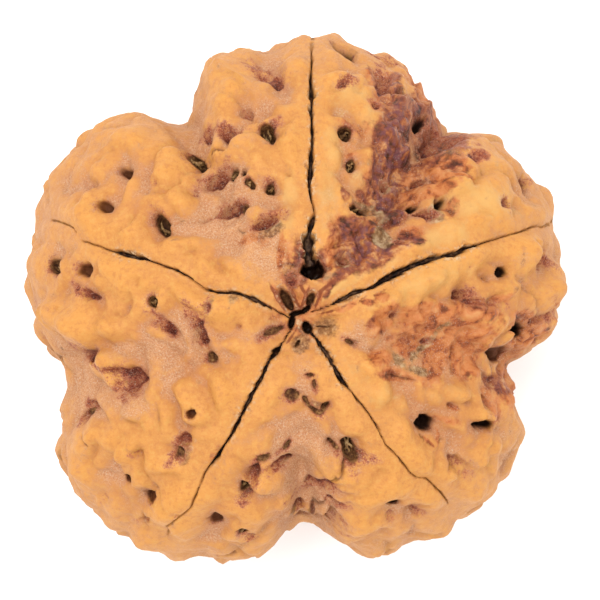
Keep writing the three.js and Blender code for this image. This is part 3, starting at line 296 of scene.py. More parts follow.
# Stains in the skin, where the pulp clung or the surface is eroded: x, y, length, width, turn, strength.
stains = {
    "purple": [
        [4.9, 8.4, 1.7, 0.7, -58, 0.75], [5.4, 7.6, 1.3, 0.6, -35, 0.75], [3.55, 6.3, 4.2, 1.6, 86, 1.4],
        [4.1, 6.6, 1.6, 1.0, 80, 1.1], [3.6, 9.2, 1.5, 0.6, 75, 1.0], [3.2, 4.9, 1.6, 1.1, 0, 1.2],
        [2.5, 2.95, 2.3, 1.9, 40, 1.2], [3.7, 4.4, 1.6, 1.2, 80, 1.1], [1.85, 5.2, 0.4, 0.75, 0, 0.8],
        [2.5, 4.95, 0.7, 0.5, -40, 0.8], [2.1, 3.85, 1.8, 0.9, 30, 0.85], [3.5, 4.3, 1.4, 0.9, 0, 0.9],
        [2.3, 3.2, 1.7, 1.3, 20, 0.95], [3.4, 2.8, 1.3, 0.7, 30, 0.9], [4.4, 3.3, 0.9, 0.6, -30, 0.8],
        [1.85, 2.4, 0.9, 0.8, 0, 0.85], [1.25, 1.5, 0.8, 0.3, 55, 0.8], [2.1, 2.25, 2.2, 0.55, 36, 0.85],
        [5.45, 6.95, 1.9, 1.1, -33, 1.0], [6.5, 7.35, 1.2, 0.35, -12, 0.5], [3.35, 9.4, 1.0, 0.9, 80, 0.7],
        [5.1, 6.3, 0.9, 0.6, 0, 0.6], [6.1, 6.1, 0.7, 0.6, 0, 0.6], [0.1, 2.5, 0.7, 2.0, 0, 0.8],
        [0.54, -7.45, 0.3, 0.3, 0, 0.6], [0.9, 2.2, 0.5, 1.4, 0, 0.7], [7.75, -2.4, 0.9, 0.9, 0, 0.8],
        [3.7, -2.05, 1.4, 0.4, -12, 0.5], [4.2, -0.7, 0.9, 0.7, 0, 0.5], [7.3, 0.6, 1.4, 0.5, -15, 0.45],
        [2.9, 0.0, 0.8, 0.4, 60, 0.5], [-0.24, 1.7, 0.7, 0.7, 0, 0.9], [1.1, 1.1, 0.5, 0.3, 60, 0.6],
        [-6.55, -2.35, 1.0, 1.1, 0, 0.5], [8.9, 0.2, 0.7, 0.4, 0, 0.5],
    ],
    "rust": [
        [5.6, -0.6, 4.6, 2.4, -8, 0.6], [8.8, -0.3, 1.4, 1.2, 0, 0.6], [8.3, -2.6, 1.6, 1.6, 0, 1.0],
        [9.0, -0.55, 1.6, 0.7, 30, 1.1], [8.2, -1.9, 1.2, 0.7, -40, 0.9], [4.6, 9.5, 1.6, 0.8, -55, 0.75],
        [5.1, 8.7, 1.4, 0.9, -60, 0.95], [4.7, 8.1, 1.2, 0.7, 0, 0.85], [5.6, 7.7, 1.2, 0.6, -35, 0.95],
        [5.4, 5.95, 2.2, 1.2, -5, 1.0], [6.7, 5.75, 1.0, 0.3, 0, 0.5], [5.3, 5.15, 1.3, 0.4, 0, 0.85],
        [6.0, 4.5, 0.6, 1.1, -20, 0.5], [2.85, 10.0, 0.4, 0.7, 0, 0.6], [1.9, 8.0, 0.9, 0.35, 0, 0.6],
        [2.5, 7.6, 0.9, 0.8, 0, 0.4], [2.1, 6.65, 0.6, 0.3, 0, 0.7], [7.1, 6.62, 0.8, 0.44, 0, 1.0],
        [1.6, 3.6, 0.9, 1.2, 30, 0.6], [3.4, 9.3, 1.4, 1.2, 80, 0.8], [3.0, 8.65, 0.6, 0.4, -20, 0.9],
        [4.3, 4.9, 1.0, 1.2, 0, 0.7], [4.5, 3.5, 1.0, 0.8, 0, 0.7], [2.8, 5.9, 0.8, 0.5, 60, 0.6],
        [1.2, 2.6, 0.5, 2.0, -10, 0.8], [1.6, 0.5, 0.5, 0.26, 0, 0.7], [2.1, 0.72, 0.6, 0.3, 40, 0.8],
        [2.75, 0.8, 0.6, 0.26, -10, 0.8], [3.3, 1.0, 0.5, 0.4, 50, 0.7], [3.3, 0.1, 1.4, 0.9, 40, 0.95],
        [5.0, 0.25, 2.3, 1.0, 5, 0.95], [7.2, 0.5, 1.8, 0.9, -15, 0.9], [6.6, -0.4, 1.5, 1.5, 0, 0.75],
        [4.3, -0.8, 1.4, 1.1, 0, 0.9], [5.3, -1.75, 0.8, 1.4, -20, 1.0], [3.3, -1.4, 1.2, 0.6, 0, 0.75],
        [3.7, -2.05, 1.7, 0.5, -12, 0.95], [5.0, -2.4, 1.4, 0.4, -20, 0.55],
        [6.5, -1.6, 1.0, 1.4, 0, 0.75], [9.2, -0.1, 1.5, 0.5, 25, 0.9], [8.85, 0.25, 1.1, 0.5, -5, 0.8],
        [8.4, -1.35, 0.7, 0.6, 0, 0.8], [7.8, -3.4, 1.4, 0.5, -70, 0.95], [5.7, -3.85, 0.8, 0.3, -10, 0.7],
        [5.05, -4.65, 0.8, 0.14, -45, 0.8], [5.5, -4.6, 0.6, 0.14, 65, 0.8],
        [6.1, -3.95, 1.1, 0.4, -10, 0.45], [6.15, -3.4, 0.6, 0.2, -20, 0.8],
        [8.1, 0.95, 0.8, 0.4, -10, 0.6], [9.6, 2.5, 1.0, 0.5, -50, 0.6], [-0.9, 4.4, 0.9, 0.4, 60, 0.4],
        [-1.3, 3.2, 0.8, 0.5, 60, 0.4], [-0.72, 2.8, 1.5, 0.3, 85, 0.85], [-1.8, 3.4, 1.5, 0.6, 20, 0.6],
        [-0.3, 2.6, 0.5, 1.4, 0, 0.5], [9.9, 0.2, 0.9, 2.0, 0, 0.35], [-0.12, 1.0, 0.9, 0.2, -62, 1.0],
        [0.22, 1.05, 0.8, 0.18, 70, 0.9], [-0.86, 1.1, 0.9, 0.22, -62, 0.9],
        [0.85, 1.0, 0.8, 0.2, 72, 0.8], [-0.3, 1.75, 1.0, 0.8, 0, 0.6], [-3.8, -0.9, 0.9, 0.4, -65, 0.5],
        [-5.3, -0.2, 0.8, 0.3, -50, 0.5], [-3.3, -5.2, 0.9, 0.3, 60, 0.4], [0.1, 0.2, 2.4, 2.2, 0, 0.5],
    ],
    "olive": [
        [3.3, 3.4, 0.8, 0.9, 0, 1.0], [2.5, 4.5, 1.1, 0.4, 0, 0.8], [3.45, 5.4, 0.4, 0.6, 0, 0.8],
        [5.35, 4.25, 0.5, 0.8, 10, 0.9], [2.8, 6.35, 0.4, 0.4, 0, 0.5], [4.9, 5.6, 0.5, 0.3, 0, 0.7],
        [3.95, -1.5, 1.1, 0.4, -55, 0.6], [4.7, -1.2, 1.7, 0.35, 42, 0.6], [5.5, -0.4, 1.2, 0.3, 55, 0.5],
        [4.7, -1.95, 1.4, 0.35, -12, 0.6], [3.0, 4.3, 1.2, 0.5, -20, 0.6], [1.8, 2.4, 0.5, 0.45, 0, 0.9],
        [-3.5, -1.42, 0.7, 0.45, -40, 0.8], [-3.7, 0.6, 0.5, 0.7, -35, 0.6],
        [-1.1, 3.8, 1.1, 0.35, 25, 0.5], [-2.6, 1.0, 0.5, 0.4, 0, 0.5], [0.35, 3.2, 0.5, 1.2, 0, 0.5],
        [2.2, -0.85, 0.5, 0.35, 0, 0.7], [1.2, 1.9, 0.4, 0.8, -60, 0.4],
    ],
    # Cream on the glossy ridges: partly the skin's real cream colour, partly a painted highlight.
    "cream_and_highlight": [
        [2.0, 9.0, 1.6, 1.0, 0, 0.7], [2.9, 8.1, 1.2, 1.0, 0, 0.7], [1.4, 6.9, 1.8, 0.9, 90, 0.7],
        [2.3, 5.6, 0.9, 1.4, 0, 0.5], [1.2, 5.0, 3.4, 0.9, 90, 0.6], [7.2, 4.9, 3.4, 1.4, -5, 0.8],
        [5.8, 3.5, 2.6, 0.9, 15, 0.9], [3.6, 2.3, 1.4, 0.4, 30, 0.7], [2.2, 1.8, 1.4, 0.4, 40, 0.7],
        [5.2, 1.6, 4.4, 1.2, 24, 0.6], [3.4, 0.9, 1.8, 0.7, 25, 0.5], [-0.4, 5.0, 1.6, 0.7, 90, 0.7],
        [-0.5, 4.0, 1.2, 0.8, 90, 0.6], [-0.3, 8.4, 1.4, 0.7, 90, 0.25], [-1.3, 0.75, 1.4, 0.5, -27, 0.5],
        [-0.9, 0.1, 1.0, 0.4, 0, 0.5], [2.3, -2.2, 1.8, 0.6, -50, 0.4], [4.0, 9.0, 0.9, 0.7, 60, 0.5],
        [6.2, 6.6, 1.0, 0.6, -20, 0.4], [7.8, 6.5, 1.6, 1.0, 0, 0.3], [0.63, 0.33, 0.7, 0.2, 20, 1.0],
        [3.5, -3.0, 2.6, 1.2, -30, 0.5], [5.6, -2.8, 2.0, 0.8, 0, 0.4], [1.35, 1.25, 1.6, 0.22, 40, 1.0],
        [2.6, 1.95, 1.8, 0.3, 36, 0.9], [-0.7, 0.75, 0.5, 0.2, -60, 0.8],
    ],
    "crumbs": [
        [1.0, -0.2, 1.1, 0.9, 0, 1.1], [0.08, -0.88, 0.8, 0.8, 0, 1.1], [2.05, 0.95, 0.9, 0.32, 25, 1.0],
        [-1.15, -0.38, 1.1, 0.4, 22, 0.9], [-0.29, -2.94, 0.7, 0.5, -20, 0.9],
        [0.4, 3.0, 0.5, 1.4, 0, 0.7], [-0.2, 1.75, 0.5, 0.4, 0, 0.7], [-2.6, 1.05, 0.5, 0.35, 0, 0.8],
        [-4.66, -5.1, 0.7, 1.1, 0, 1.0], [-6.5, 2.65, 0.9, 0.3, -15, 0.8], [-1.2, 3.55, 1.3, 0.5, 15, 0.9],
        [0.85, -3.4, 1.1, 0.5, -15, 0.7],
    ],
    "line": [
        [-0.22, 1.05, 1.1, 0.16, -64, 1.3], [0.25, 1.0, 0.9, 0.14, 68, 1.3],
        [-0.83, 0.95, 1.2, 0.16, -60, 1.3], [0.78, 0.95, 0.9, 0.14, 68, 1.1],
        [0.15, 1.3, 0.5, 0.14, -60, 1.0], [1.0, 1.35, 1.3, 0.14, 38, 1.0],
        [-0.32, -0.6, 0.8, 0.12, 55, 1.0], [1.2, 0.42, 1.2, 0.1, 12, 0.8],
        [-1.4, 0.75, 1.2, 0.1, -27, 1.0], [1.75, 0.62, 0.5, 0.12, 25, 0.8],
        [2.15, 0.74, 0.5, 0.12, -5, 0.8], [2.5, 0.92, 0.5, 0.12, 40, 0.8],
        [2.95, 1.05, 0.5, 0.12, 10, 0.8], [3.35, 1.25, 0.5, 0.12, 35, 0.7],
        [0.75, -0.75, 0.8, 0.12, -50, 1.0],
    ],
    "dust": [
        [-1.3, 2.6, 2.2, 1.9, 0, 0.95], [9.9, 0.3, 1.2, 2.6, 0, 0.3], [1.2, 4.6, 0.8, 2.0, 0, 0.5],
        [-2.9, 4.1, 3.0, 1.6, 20, 0.9], [-3.0, 5.6, 2.6, 1.2, 20, 0.6], [-2.9, 7.3, 2.8, 1.0, -10, 0.6],
        [-1.9, 2.9, 2.4, 1.6, -20, 0.8], [-3.9, 7.9, 2.0, 1.6, 60, 0.6], [-1.6, 9.4, 2.4, 1.0, -10, 0.5],
        [-6.0, 8.2, 3.0, 0.8, -10, 0.6], [-9.2, 3.4, 1.2, 1.8, 0, 0.5], [-10.2, 1.6, 0.9, 1.8, 0, 0.5],
        [-6.2, 5.2, 1.6, 1.0, 0, 0.3], [-6.6, 6.6, 1.2, 0.8, 0, 0.3], [-9.4, -0.7, 1.8, 1.2, -30, 0.7],
        [-7.2, -1.2, 1.8, 0.7, 10, 0.5], [-5.6, -1.6, 1.2, 2.8, 10, 0.65],
        [-8.6, -2.8, 2.6, 2.2, -30, 1.0], [-6.9, -3.4, 2.0, 1.2, 0, 0.85], [-4.3, -0.4, 1.2, 2.0, 20, 0.6],
        [-2.9, -1.0, 1.4, 1.2, 0, 0.3], [-8.0, -6.4, 1.6, 1.6, 0, 0.4], [-6.4, -6.8, 1.4, 1.0, 0, 0.5],
        [-3.9, -8.6, 3.0, 0.9, 0, 0.3], [-2.8, -6.2, 1.2, 1.6, 0, 0.25], [-1.3, -4.2, 2.4, 1.0, 30, 0.4],
        [-0.2, -6.0, 2.4, 1.4, 0, 0.6], [0.1, -4.9, 2.6, 2.4, 0, 0.75], [0.9, -7.2, 2.0, 0.9, 10, 0.6],
        [0.0, -8.0, 1.4, 0.9, 0, 0.6], [3.2, -7.5, 2.4, 0.6, 0, 0.4], [5.6, -6.9, 1.6, 0.9, 20, 0.3],
        [6.6, -5.8, 1.4, 0.8, -30, 0.5], [8.9, 2.2, 2.0, 1.6, 0, 0.4], [9.9, 3.0, 0.9, 2.0, 0, 0.4],
        [7.9, 0.6, 1.4, 1.0, 0, 0.15], [8.2, 3.9, 1.6, 1.0, 0, 0.4], [1.7, 10.2, 2.4, 1.0, 0, 0.4],
        [3.0, 10.0, 1.2, 1.0, 0, 0.3], [1.5, 8.4, 0.9, 1.6, 0, 0.3], [2.4, -0.5, 1.8, 1.4, 0, 0.6],
        [4.9, -1.3, 2.4, 2.0, 0, 0.2], [-1.6, -0.4, 1.8, 0.7, 22, 0.5], [0.2, -1.6, 1.2, 1.2, 0, 0.5],
        [-0.2, -2.6, 1.4, 1.0, 0, 0.4],
    ],
}
stain_fades = (0.3, 1.7)
stain_reach = 2.0

# Pink dust lies in the notches between the lobes; the sides turn to the dust colour towards the rim.
notch_dust = {"share": 0.6, "reach": (10.4, 9.2), "down": (0.8, 1.3)}
side_paling = {"share": 0.55, "down": (math.radians(48), math.radians(80))}

# The longest edges of facets on the face, the back, walls of fissures and pits, the middle and stains.
facets = {
    "face": 0.2, "back": 0.36, "lip": 0.17, "lip_width": 0.35, "slit": (0.05, 0.13), "slit_margin": 0.16,
    "pit": (0.075, 0.17), "pit_reach": 1.6, "pit_margin": 1.25, "middle": {2.2: 0.07, 0.8: 0.045},
    "stain": 0.1, "stain_reach": 1.2, "front": math.radians(75), "slack": 1.45, "rounds": 5,
}
draw_factor = 16807
draw_limit = 2147483647


def seeded_draw(seed):
    state = seed

    def draw():
        nonlocal state
        state = state * draw_factor % draw_limit
        return state / draw_limit

    return draw


def smooth(low, high, value):
    t = np.clip((value - low) / (high - low), 0, 1)
    return t * t * (3 - 2 * t)


def between(low, high, share):
    return low + (high - low) * share


def outline_reach(turn):
    angle = np.degrees(turn) % 360
    at, reach = outline[:, 0], outline[:, 1]
    span = (np.roll(at, -1) - at) % 360
    slope = (np.roll(reach, -1) - np.roll(reach, 1)) / (span + np.roll(span, 1))
    i = np.searchsorted(at, angle, side="right") - 1
    j = (i + 1) % len(at)
    t = (angle - at[i]) / span[i]
    return (
        reach[i] * (1 + t * t * (2 * t - 3)) + reach[j] * t * t * (3 - 2 * t)
        + slope[i] * span[i] * t * (1 - t) ** 2 + slope[j] * span[i] * t * t * (t - 1)
    )


mean_reach = outline[:, 1].mean()


def body_reach(d):
    across = np.hypot(d[:, 0], d[:, 1])
    lobed = mean_reach + (outline_reach(np.arctan2(d[:, 1], d[:, 0])) - mean_reach) * across - relief
    up = np.abs(d[:, 2])
    reach = ((across / lobed) ** fullness + (up / (height / 2)) ** fullness) ** (-1 / fullness)
    return reach - end_sink * np.exp(-((reach * across / end_sink_reach) ** 2)) * up


def towards(turn, down):
    return np.stack([np.cos(turn) * np.sin(down), np.sin(turn) * np.sin(down), np.cos(down)], axis=-1)


# The angle down from the axis at which a surface passes under points x, y of the face.
def angle_under(x, y, reach_of=body_reach):
    turn = np.arctan2(y, x)
    low, high = np.zeros_like(turn), np.full_like(turn, rim_down)
    for _ in range(16):
        middle = (low + high) / 2
        inside = reach_of(towards(turn, middle)) * np.sin(middle) < np.hypot(x, y)
        low, high = np.where(inside, middle, low), np.where(inside, high, middle)
    return low


# Each fissure as turns round the axis against angles down from it, over the face and on to the back.
crests = []
for which, route in enumerate(fissures.values()):
    x, y, wide = np.array(route).T
    down, turn = angle_under(x, y), np.unwrap(np.arctan2(y, x))
    first, last, step = (back_fissures[k] for k in ("first", "last", "step"))
    behind = np.arange(first, last + 1, step)
    sway = behind / back_fissures["sway_length"] + which * back_fissures["sway_shift"]
    swayed = turn[-1] + back_fissures["sway"] * np.sin(sway)
    opening = between(back_fissures["narrow"], back_fissures["wide"], smooth(first, last - step, behind))
    crests.append((
        np.concatenate([down, np.radians(behind)]),
        np.concatenate([turn, swayed]),
        np.concatenate([wide, opening]),
    ))


# How far directions lie to one side of a fissure, and how wide its mouth is there.
def beside(crest, d, reach):
    down = np.arccos(np.clip(d[:, 2], -1, 1))
    swing = np.arctan2(d[:, 1], d[:, 0]) - np.interp(down, crest[0], crest[1])
    swing = np.arctan2(np.sin(swing), np.cos(swing))
    return swing * np.sin(down) * reach, np.interp(down, crest[0], crest[2])


def from_crests(d):
    reach = body_reach(d)
    return np.min([np.abs(beside(crest, d, reach)[0]) for crest in crests], axis=0)


# A dent, knob or stain: its middle, and three half sizes that measure how far out a point is.
def face_spots(rows, reach_of=body_reach, **looks):
    x, y, length, width, turn, depth = np.array(rows, float).T
    d = towards(np.arctan2(y, x), angle_under(x, y, reach_of))
    turn, depth = np.radians(turn), depth * np.ones(len(x))
    lean = np.hypot(x, y) / mean_reach
    tall = spot_height * np.maximum(length, width) * (1 + lean ** 2)
    sizes = np.stack([length / 2, width / 2, tall], axis=1)
    across = np.stack([np.cos(turn), np.sin(turn), 0 * turn], axis=1)
    aside = np.stack([-np.sin(turn), np.cos(turn), 0 * turn], axis=1)
    return [
        {
            "centre": d[i] * body, "axes": np.array([across[i], aside[i], [0, 0, 1]]) / sizes[i][:, None],
            "reach": sizes[i].max(), "depth": depth[i], **looks,
        }
        for i, body in enumerate(body_reach(d))
    ]


def seeded_spot(d, turn, length, width, depth, **looks):
    east = np.array([-d[1], d[0], 0]) / math.hypot(d[0], d[1])
    north = np.cross(d, east)
    first = east * math.cos(turn) + north * math.sin(turn)
    second = np.cross(d, first)
    sizes = np.array([length / 2, width / 2, max(length, width)])
    return {
        "centre": d * body_reach(d[None])[0], "axes": np.array([first, second, d]) / sizes[:, None],
        "reach": sizes.max(), "depth": depth, **looks,
    }


def spread_directions(count, draw, stray):
    golden = math.pi * (3 - math.sqrt(5))
    made = []
    for i in range(count):
        z = 1 - (2 * i + 1) / count
        ring = math.sqrt(1 - z * z)
        d = np.array([math.cos(golden * i) * ring, math.sin(golden * i) * ring, z])
        d += stray * (np.array([draw(), draw(), draw()]) - 0.5)
        made.append(d / np.linalg.norm(d))
    return made


lumps = face_spots(face_lumps)
valleys = face_spots(face_valleys)
draw = seeded_draw(back_knobs["seed"])
knobs = []
for d in spread_directions(back_knobs["count"], draw, back_knobs["stray"]):
    length = between(back_knobs["smallest"], back_knobs["largest"], draw())
    width = length * between(back_knobs["slimmest"], 1, draw())
    lift = between(back_knobs["lowest"], back_knobs["highest"], draw())
    knobs.append(seeded_spot(d, math.pi * draw(), length, width, lift))


# Smooth noise between -1 and 1 at points, with features of about the given size.
def grain(points, size, shift):
    return np.array([noise.noise(p) for p in (points / size + shift).tolist()])


# Layers of that noise on top of each other.
def layered(points, layers, base=0.0):
    return sum((height * grain(points, size, shift) for height, size, shift in layers), base)


# The points near a spot, and how far out each lies, counted in the spot's own half sizes.
def near(spot, points, reach=spot_reach):
    away = points - spot["centre"]
    close = np.flatnonzero((np.abs(away) < reach * spot["reach"]).all(axis=1))
    return close, np.linalg.norm(away[close] @ spot["axes"].T, axis=1), away[close]


# How far the skin stands over the smooth body: the lips of the fissures, lumps, knobs, valleys, furrows
# and net, how far it is from the nearest fissure, and how far it sags in a valley.
def swelling(d):
    body = body_reach(d)
    points = d * body[:, None]
    down = np.arccos(np.clip(d[:, 2], -1, 1))
    at_rim = np.exp(-(((down - widest["down"]) / widest["band"]) ** 2))
    off_face = smooth(*face_fades, down)
    from_axis = body * np.sin(down)
    clear = from_crests(d)
    ridge = np.exp(-(((clear - lip["out"]) / lip["spread"]) ** 2))
    rise = lip["lift"] * ridge * smooth(*lip["off_middle"], from_axis) * (1 - lip["lost_at_rim"] * at_rim)
    for lump in lumps:
        close, out, _ = near(lump, points)
        lift = lump["depth"] * between(lump_shape["face"], lump_shape["rim"], at_rim[close])
        rise[close] += lift * np.exp(-lump_shape["steep"] * out ** lump_shape["power"])
    for knob in knobs:
        close, out, _ = near(knob, points)
        held = off_face[close] * (1 - back_knobs["lost_at_rim"] * at_rim[close])
        rise[close] += knob["depth"] * np.exp(-back_knobs["steep"] * out ** back_knobs["power"]) * held
    sag = np.zeros(len(d))
    for valley in valleys:
        close, out, _ = near(valley, points)
        sag[close] += valley["depth"] * (1 - smooth(0, valley_fade, out))

    def share(part):
        kept = between(part["on_face"], 1.0, off_face) * smooth(*part["off_middle"], from_axis)
        return kept * smooth(*part["off_fissure"], clear) * (1 - relief_lost_at_rim * at_rim)

    sideways = [grain(points, bending["size"], shift) for shift in bending["shifts"]]
    bent = points + bending["by"] * np.stack(sideways, axis=1)
    winding = np.abs(grain(bent, furrow["size"], furrow["shift"]))
    rise -= furrow["depth"] * np.exp(-((winding / furrow["width"]) ** 2)) * share(furrow)
    rise += net["height"] * (np.abs(grain(bent, net["size"], net["shift"])) - net["level"]) * share(net)
    return rise - sag, clear, sag


def raised_reach(d):
    return body_reach(d) + swelling(d)[0]


# The way a pit runs in: towards the seed's middle, and on the face nearer to straight down.
def pit_axis(d):
    down = np.arccos(np.clip(d[:, 2], -1, 1))
    upright = pit_upright * (1 - smooth(*upright_over, down))
    axis = d + upright[:, None] * np.array([0, 0, 1])
    return axis / np.linalg.norm(axis, axis=1)[:, None]


pits = []
for kind, rows in face_pits.items():
    pits += face_spots(rows, raised_reach, **dict(zip(pit_looks, pit_kinds[kind])))
stain_spots = {name: face_spots(rows, raised_reach) for name, rows in stains.items()}

draw = seeded_draw(back_pits["seed"])
for d in spread_directions(back_pits["count"], draw, back_pits["stray"]):
    length = between(back_pits["smallest"], back_pits["largest"], draw() ** 2)
    width = length * between(back_pits["slimmest"], 1, draw())
    turn = math.pi * draw()
    depth = between(back_pits["shallowest"], back_pits["deepest"], draw())
    clear = from_crests(d[None])[0] > length / 2 + back_pits["to_fissure"]
    if math.acos(d[2]) > back_pits["from"] and clear:
        kind = back_pits["kinds"][len(pits) % len(back_pits["kinds"])]
        length *= back_pits["longer"].get(kind, back_pits["length"])
        looks = dict(zip(pit_looks, pit_kinds[kind]))
        pits.append(seeded_spot(d, turn, length, width * back_pits["narrower"], depth, **looks))


# The finished surface along directions: its points, and what shows there.
def surface(d):
    body = body_reach(d)
    points = d * body[:, None]
    down = np.arccos(np.clip(d[:, 2], -1, 1))
    from_axis = body * np.sin(down)
    rise, clear, sag = swelling(d)
    marks = ("pit", "brown", "fibre", "rim", "fissure", "fill", "edge")
    shown = {name: np.zeros(len(d)) for name in (*stains, *marks)}

    def show(name, level, where=slice(None)):
        shown[name][where] = np.maximum(shown[name][where], level)

    wander = layered(points, slit["wander"])
    ragged = layered(points, slit["ragged"], slit["usual"])
    cut, sunk, hollow = np.zeros(len(d)), np.zeros(len(d)), np.zeros(len(d))
    for crest in crests:
        side, mouth = beside(crest, d, body)
        open_to = np.maximum(mouth * ragged, slit["narrowest"]) / 2 + slit["rounding"]
        off = np.abs(side + wander)
        inside = (1 - smooth(*slit["wall"], off / open_to)) * smooth(*slit["shut"], mouth)
        inside *= smooth(*slit["off_middle"], from_axis)
        cut = np.maximum(cut, (slit["shallow"] + slit["deeper"] * mouth) * inside)
        # The fissure mark is painted shade inside the crack.
        show("fissure", inside * between(slit["faint"], 1, smooth(*slit["plain"], mouth)))
        core = 1 - smooth(*slit["core"], off / open_to)
        show("fill", inside * core * smooth(*slit["packed"], mouth))
        show("edge", np.exp(-(((off - open_to) / slit["edge"]) ** 2)) * smooth(*slit["edged"], mouth))

    wobble = layered(points, pit_wall["wobble"])
    for pit in pits:
        close, out, away = near(pit, points)
        loose = np.clip(pit["reach"] / pit_wall["round_under"], pit_wall["round_share"], 1)
        out = out * (1 + wobble[close] * loose * (pit_wall["held"] + pit_wall["loose"] * pit["slope"]))
        outward = pit["centre"] * np.array([1, 1, 0])
        far = np.linalg.norm(outward)
        outward /= max(far, 0.01)
        half = 1 / np.linalg.norm(pit["axes"][:2], axis=1)
        extent = np.linalg.norm(pit["axes"][:2] @ outward * half ** 2)
        outer = np.clip(away @ outward / (pit_wall["side_width"] * extent), -1, 1)
        side = 0.5 + 0.5 * outer * min(1, far / pit_wall["sided_from"])
        start = between(pit_wall["inner_from"], pit["steep"], side)
        end = between(pit_wall["inner_to"], pit_wall["outer_to"], side)
        inside = 1 - smooth(start, end, out)
        sunk[close] = np.maximum(sunk[close], pit["depth"] * between(1, 1 - pit["slope"], side) * inside)
        dish = pit_wall["dish"] * pit["funnel"] * (1 - smooth(pit_wall["dish_from"], spot_reach, out))
        hollow[close] = np.maximum(hollow[close], dish)
        mouth = 1 - smooth(between(start, end, pit_wall["mouth_from"]), end, out)
        # The pit mark is painted shade: a dark floor, darker still towards the steep inner wall.
        show("pit", (pit["floor_shade"] + pit_wall["inner_shade"] * (1 - pit["floor_shade"]) * (1 - side)) * mouth, close)
        show("brown", pit["brown"] * mouth, close)
        show("fibre", pit["fibre"] * mouth, close)
        spread = between(*pit_wall["spread"], side) * (1 - smooth(*pit_wall["spread_over"], out))
        # The rim mark is a maroon stain, partly painted shade where it is strongest on the steep inner
        # wall.
        show("rim", pit["rim"] * np.maximum(mouth * between(*pit_wall["stain"], side), spread), close)
        ring = np.exp(-(((out - pit_wall["ring_at"]) / pit_wall["ring_width"]) ** 2))
        show("edge", pit["ring"] * ring, close)
    hollow *= smooth(*pit_wall["dish_off_fissure"], clear)

    for name, spots in stain_spots.items():
        for spot in spots:
            close, out, _ = near(spot, points, stain_reach)
            show(name, spot["depth"] * (1 - smooth(*stain_fades, out)), close)
    notch = smooth(*notch_dust["reach"], outline_reach(np.arctan2(d[:, 1], d[:, 0])))
    show("dust", notch_dust["share"] * (notch * smooth(*notch_dust["down"], down)))
    show("dust", side_paling["share"] * smooth(*side_paling["down"], down))
    eroded = np.maximum(np.maximum(shown["purple"], shown["rust"]), shown["olive"])
    flaked = np.abs(grain(points, flakes["size"], flakes["shift"]))
    rough = layered(points, flakes["fine"], flakes["height"] * (flaked - flakes["level"]))
    shown["crust"] = 0.5 + flakes["shown"] * rough
    front = d[:, 2] > 0
    middle = front * torn_middle["rough"] * (1 - smooth(*torn_middle["edge"], from_axis))
    skin = layered(points, skin_grain) * smooth(*grain_off_fissure, clear)
    rise += skin + rough * np.maximum(eroded, middle)
    sunk = np.maximum(sunk - cut, 0)
    reach = body + rise - cut - hollow - np.where(front, 0, sunk)
    # The relief sets the painted highlight on raised skin and the painted shade in hollows.
    shown["relief"] = rise - hollow + sag_shade * sag
    level = np.where(front, np.inf, rests_at / np.minimum(d[:, 2], -0.001))
    places = d * np.minimum(reach, level)[:, None] - pit_axis(d) * np.where(front, sunk, 0)[:, None]
    return places, shown


# How long a facet's edge may be along directions: shortest at walls and mouths, longest on the back.
def wanted_edge(d):
    body = body_reach(d)
    points = d * body[:, None]
    down = np.arccos(np.clip(d[:, 2], -1, 1))
    front = down < facets["front"]
    wanted = np.where(front, facets["face"], facets["back"])

    def refine(where, longest):
        wanted[where] = np.minimum(wanted[where], longest)

    for crest in crests:
        side, mouth = beside(crest, d, body)
        off = np.abs(side)
        refine(off < facets["lip_width"], facets["lip"])
        fine = off < mouth / 2 + facets["slit_margin"]
        refine(fine, np.where(front[fine], *facets["slit"]))
    for pit in pits:
        close, out, _ = near(pit, points, facets["pit_reach"])
        fine = close[out < facets["pit_margin"]]
        refine(fine, np.where(front[fine], *facets["pit"]))
    from_axis = body * np.sin(down)
    for within, longest in facets["middle"].items():
        wanted[front & (from_axis < within)] = longest
    for spot in stain_spots["purple"] + stain_spots["rust"]:
        close, out, _ = near(spot, points, facets["stain_reach"])
        refine(close[out < 1], facets["stain"])
    return wanted


bpy.ops.object.select_all(action="DESELECT")
bpy.ops.mesh.primitive_ico_sphere_add(subdivisions=6, radius=1, location=(0, 0, 0))
seed = bpy.context.object
seed.name = "seed_shell"
bpy.ops.object.mode_set(mode="EDIT")
bpy.ops.mesh.select_mode(type="FACE")
bpy.ops.object.mode_set(mode="OBJECT")


def directions_of(mesh):
    places = np.empty(len(mesh.vertices) * 3)
    mesh.vertices.foreach_get("co", places)
    places = places.reshape(-1, 3)
    return places / np.linalg.norm(places, axis=1)[:, None]


for _ in range(facets["rounds"]):
    d = directions_of(seed.data)
    corners = np.empty(len(seed.data.polygons) * 3, int)
    seed.data.polygons.foreach_get("vertices", corners)
    corners = corners.reshape(-1, 3)
    middles = d[corners].mean(axis=1)
    middles /= np.linalg.norm(middles, axis=1)[:, None]
    body = body_reach(middles)
    sides = [np.linalg.norm(d[corners[:, k]] - d[corners[:, k - 1]], axis=1) for k in range(3)]
    chosen = np.max(sides, axis=0) * body > facets["slack"] * wanted_edge(middles)
    if not chosen.any():
        break
    seed.data.polygons.foreach_set("select", chosen)
    bpy.ops.object.mode_set(mode="EDIT")
    bpy.ops.mesh.subdivide(number_cuts=1)
    bpy.ops.mesh.select_all(action="SELECT")
    bpy.ops.mesh.quads_convert_to_tris()
    bpy.ops.mesh.select_all(action="DESELECT")
    bpy.ops.object.mode_set(mode="OBJECT")

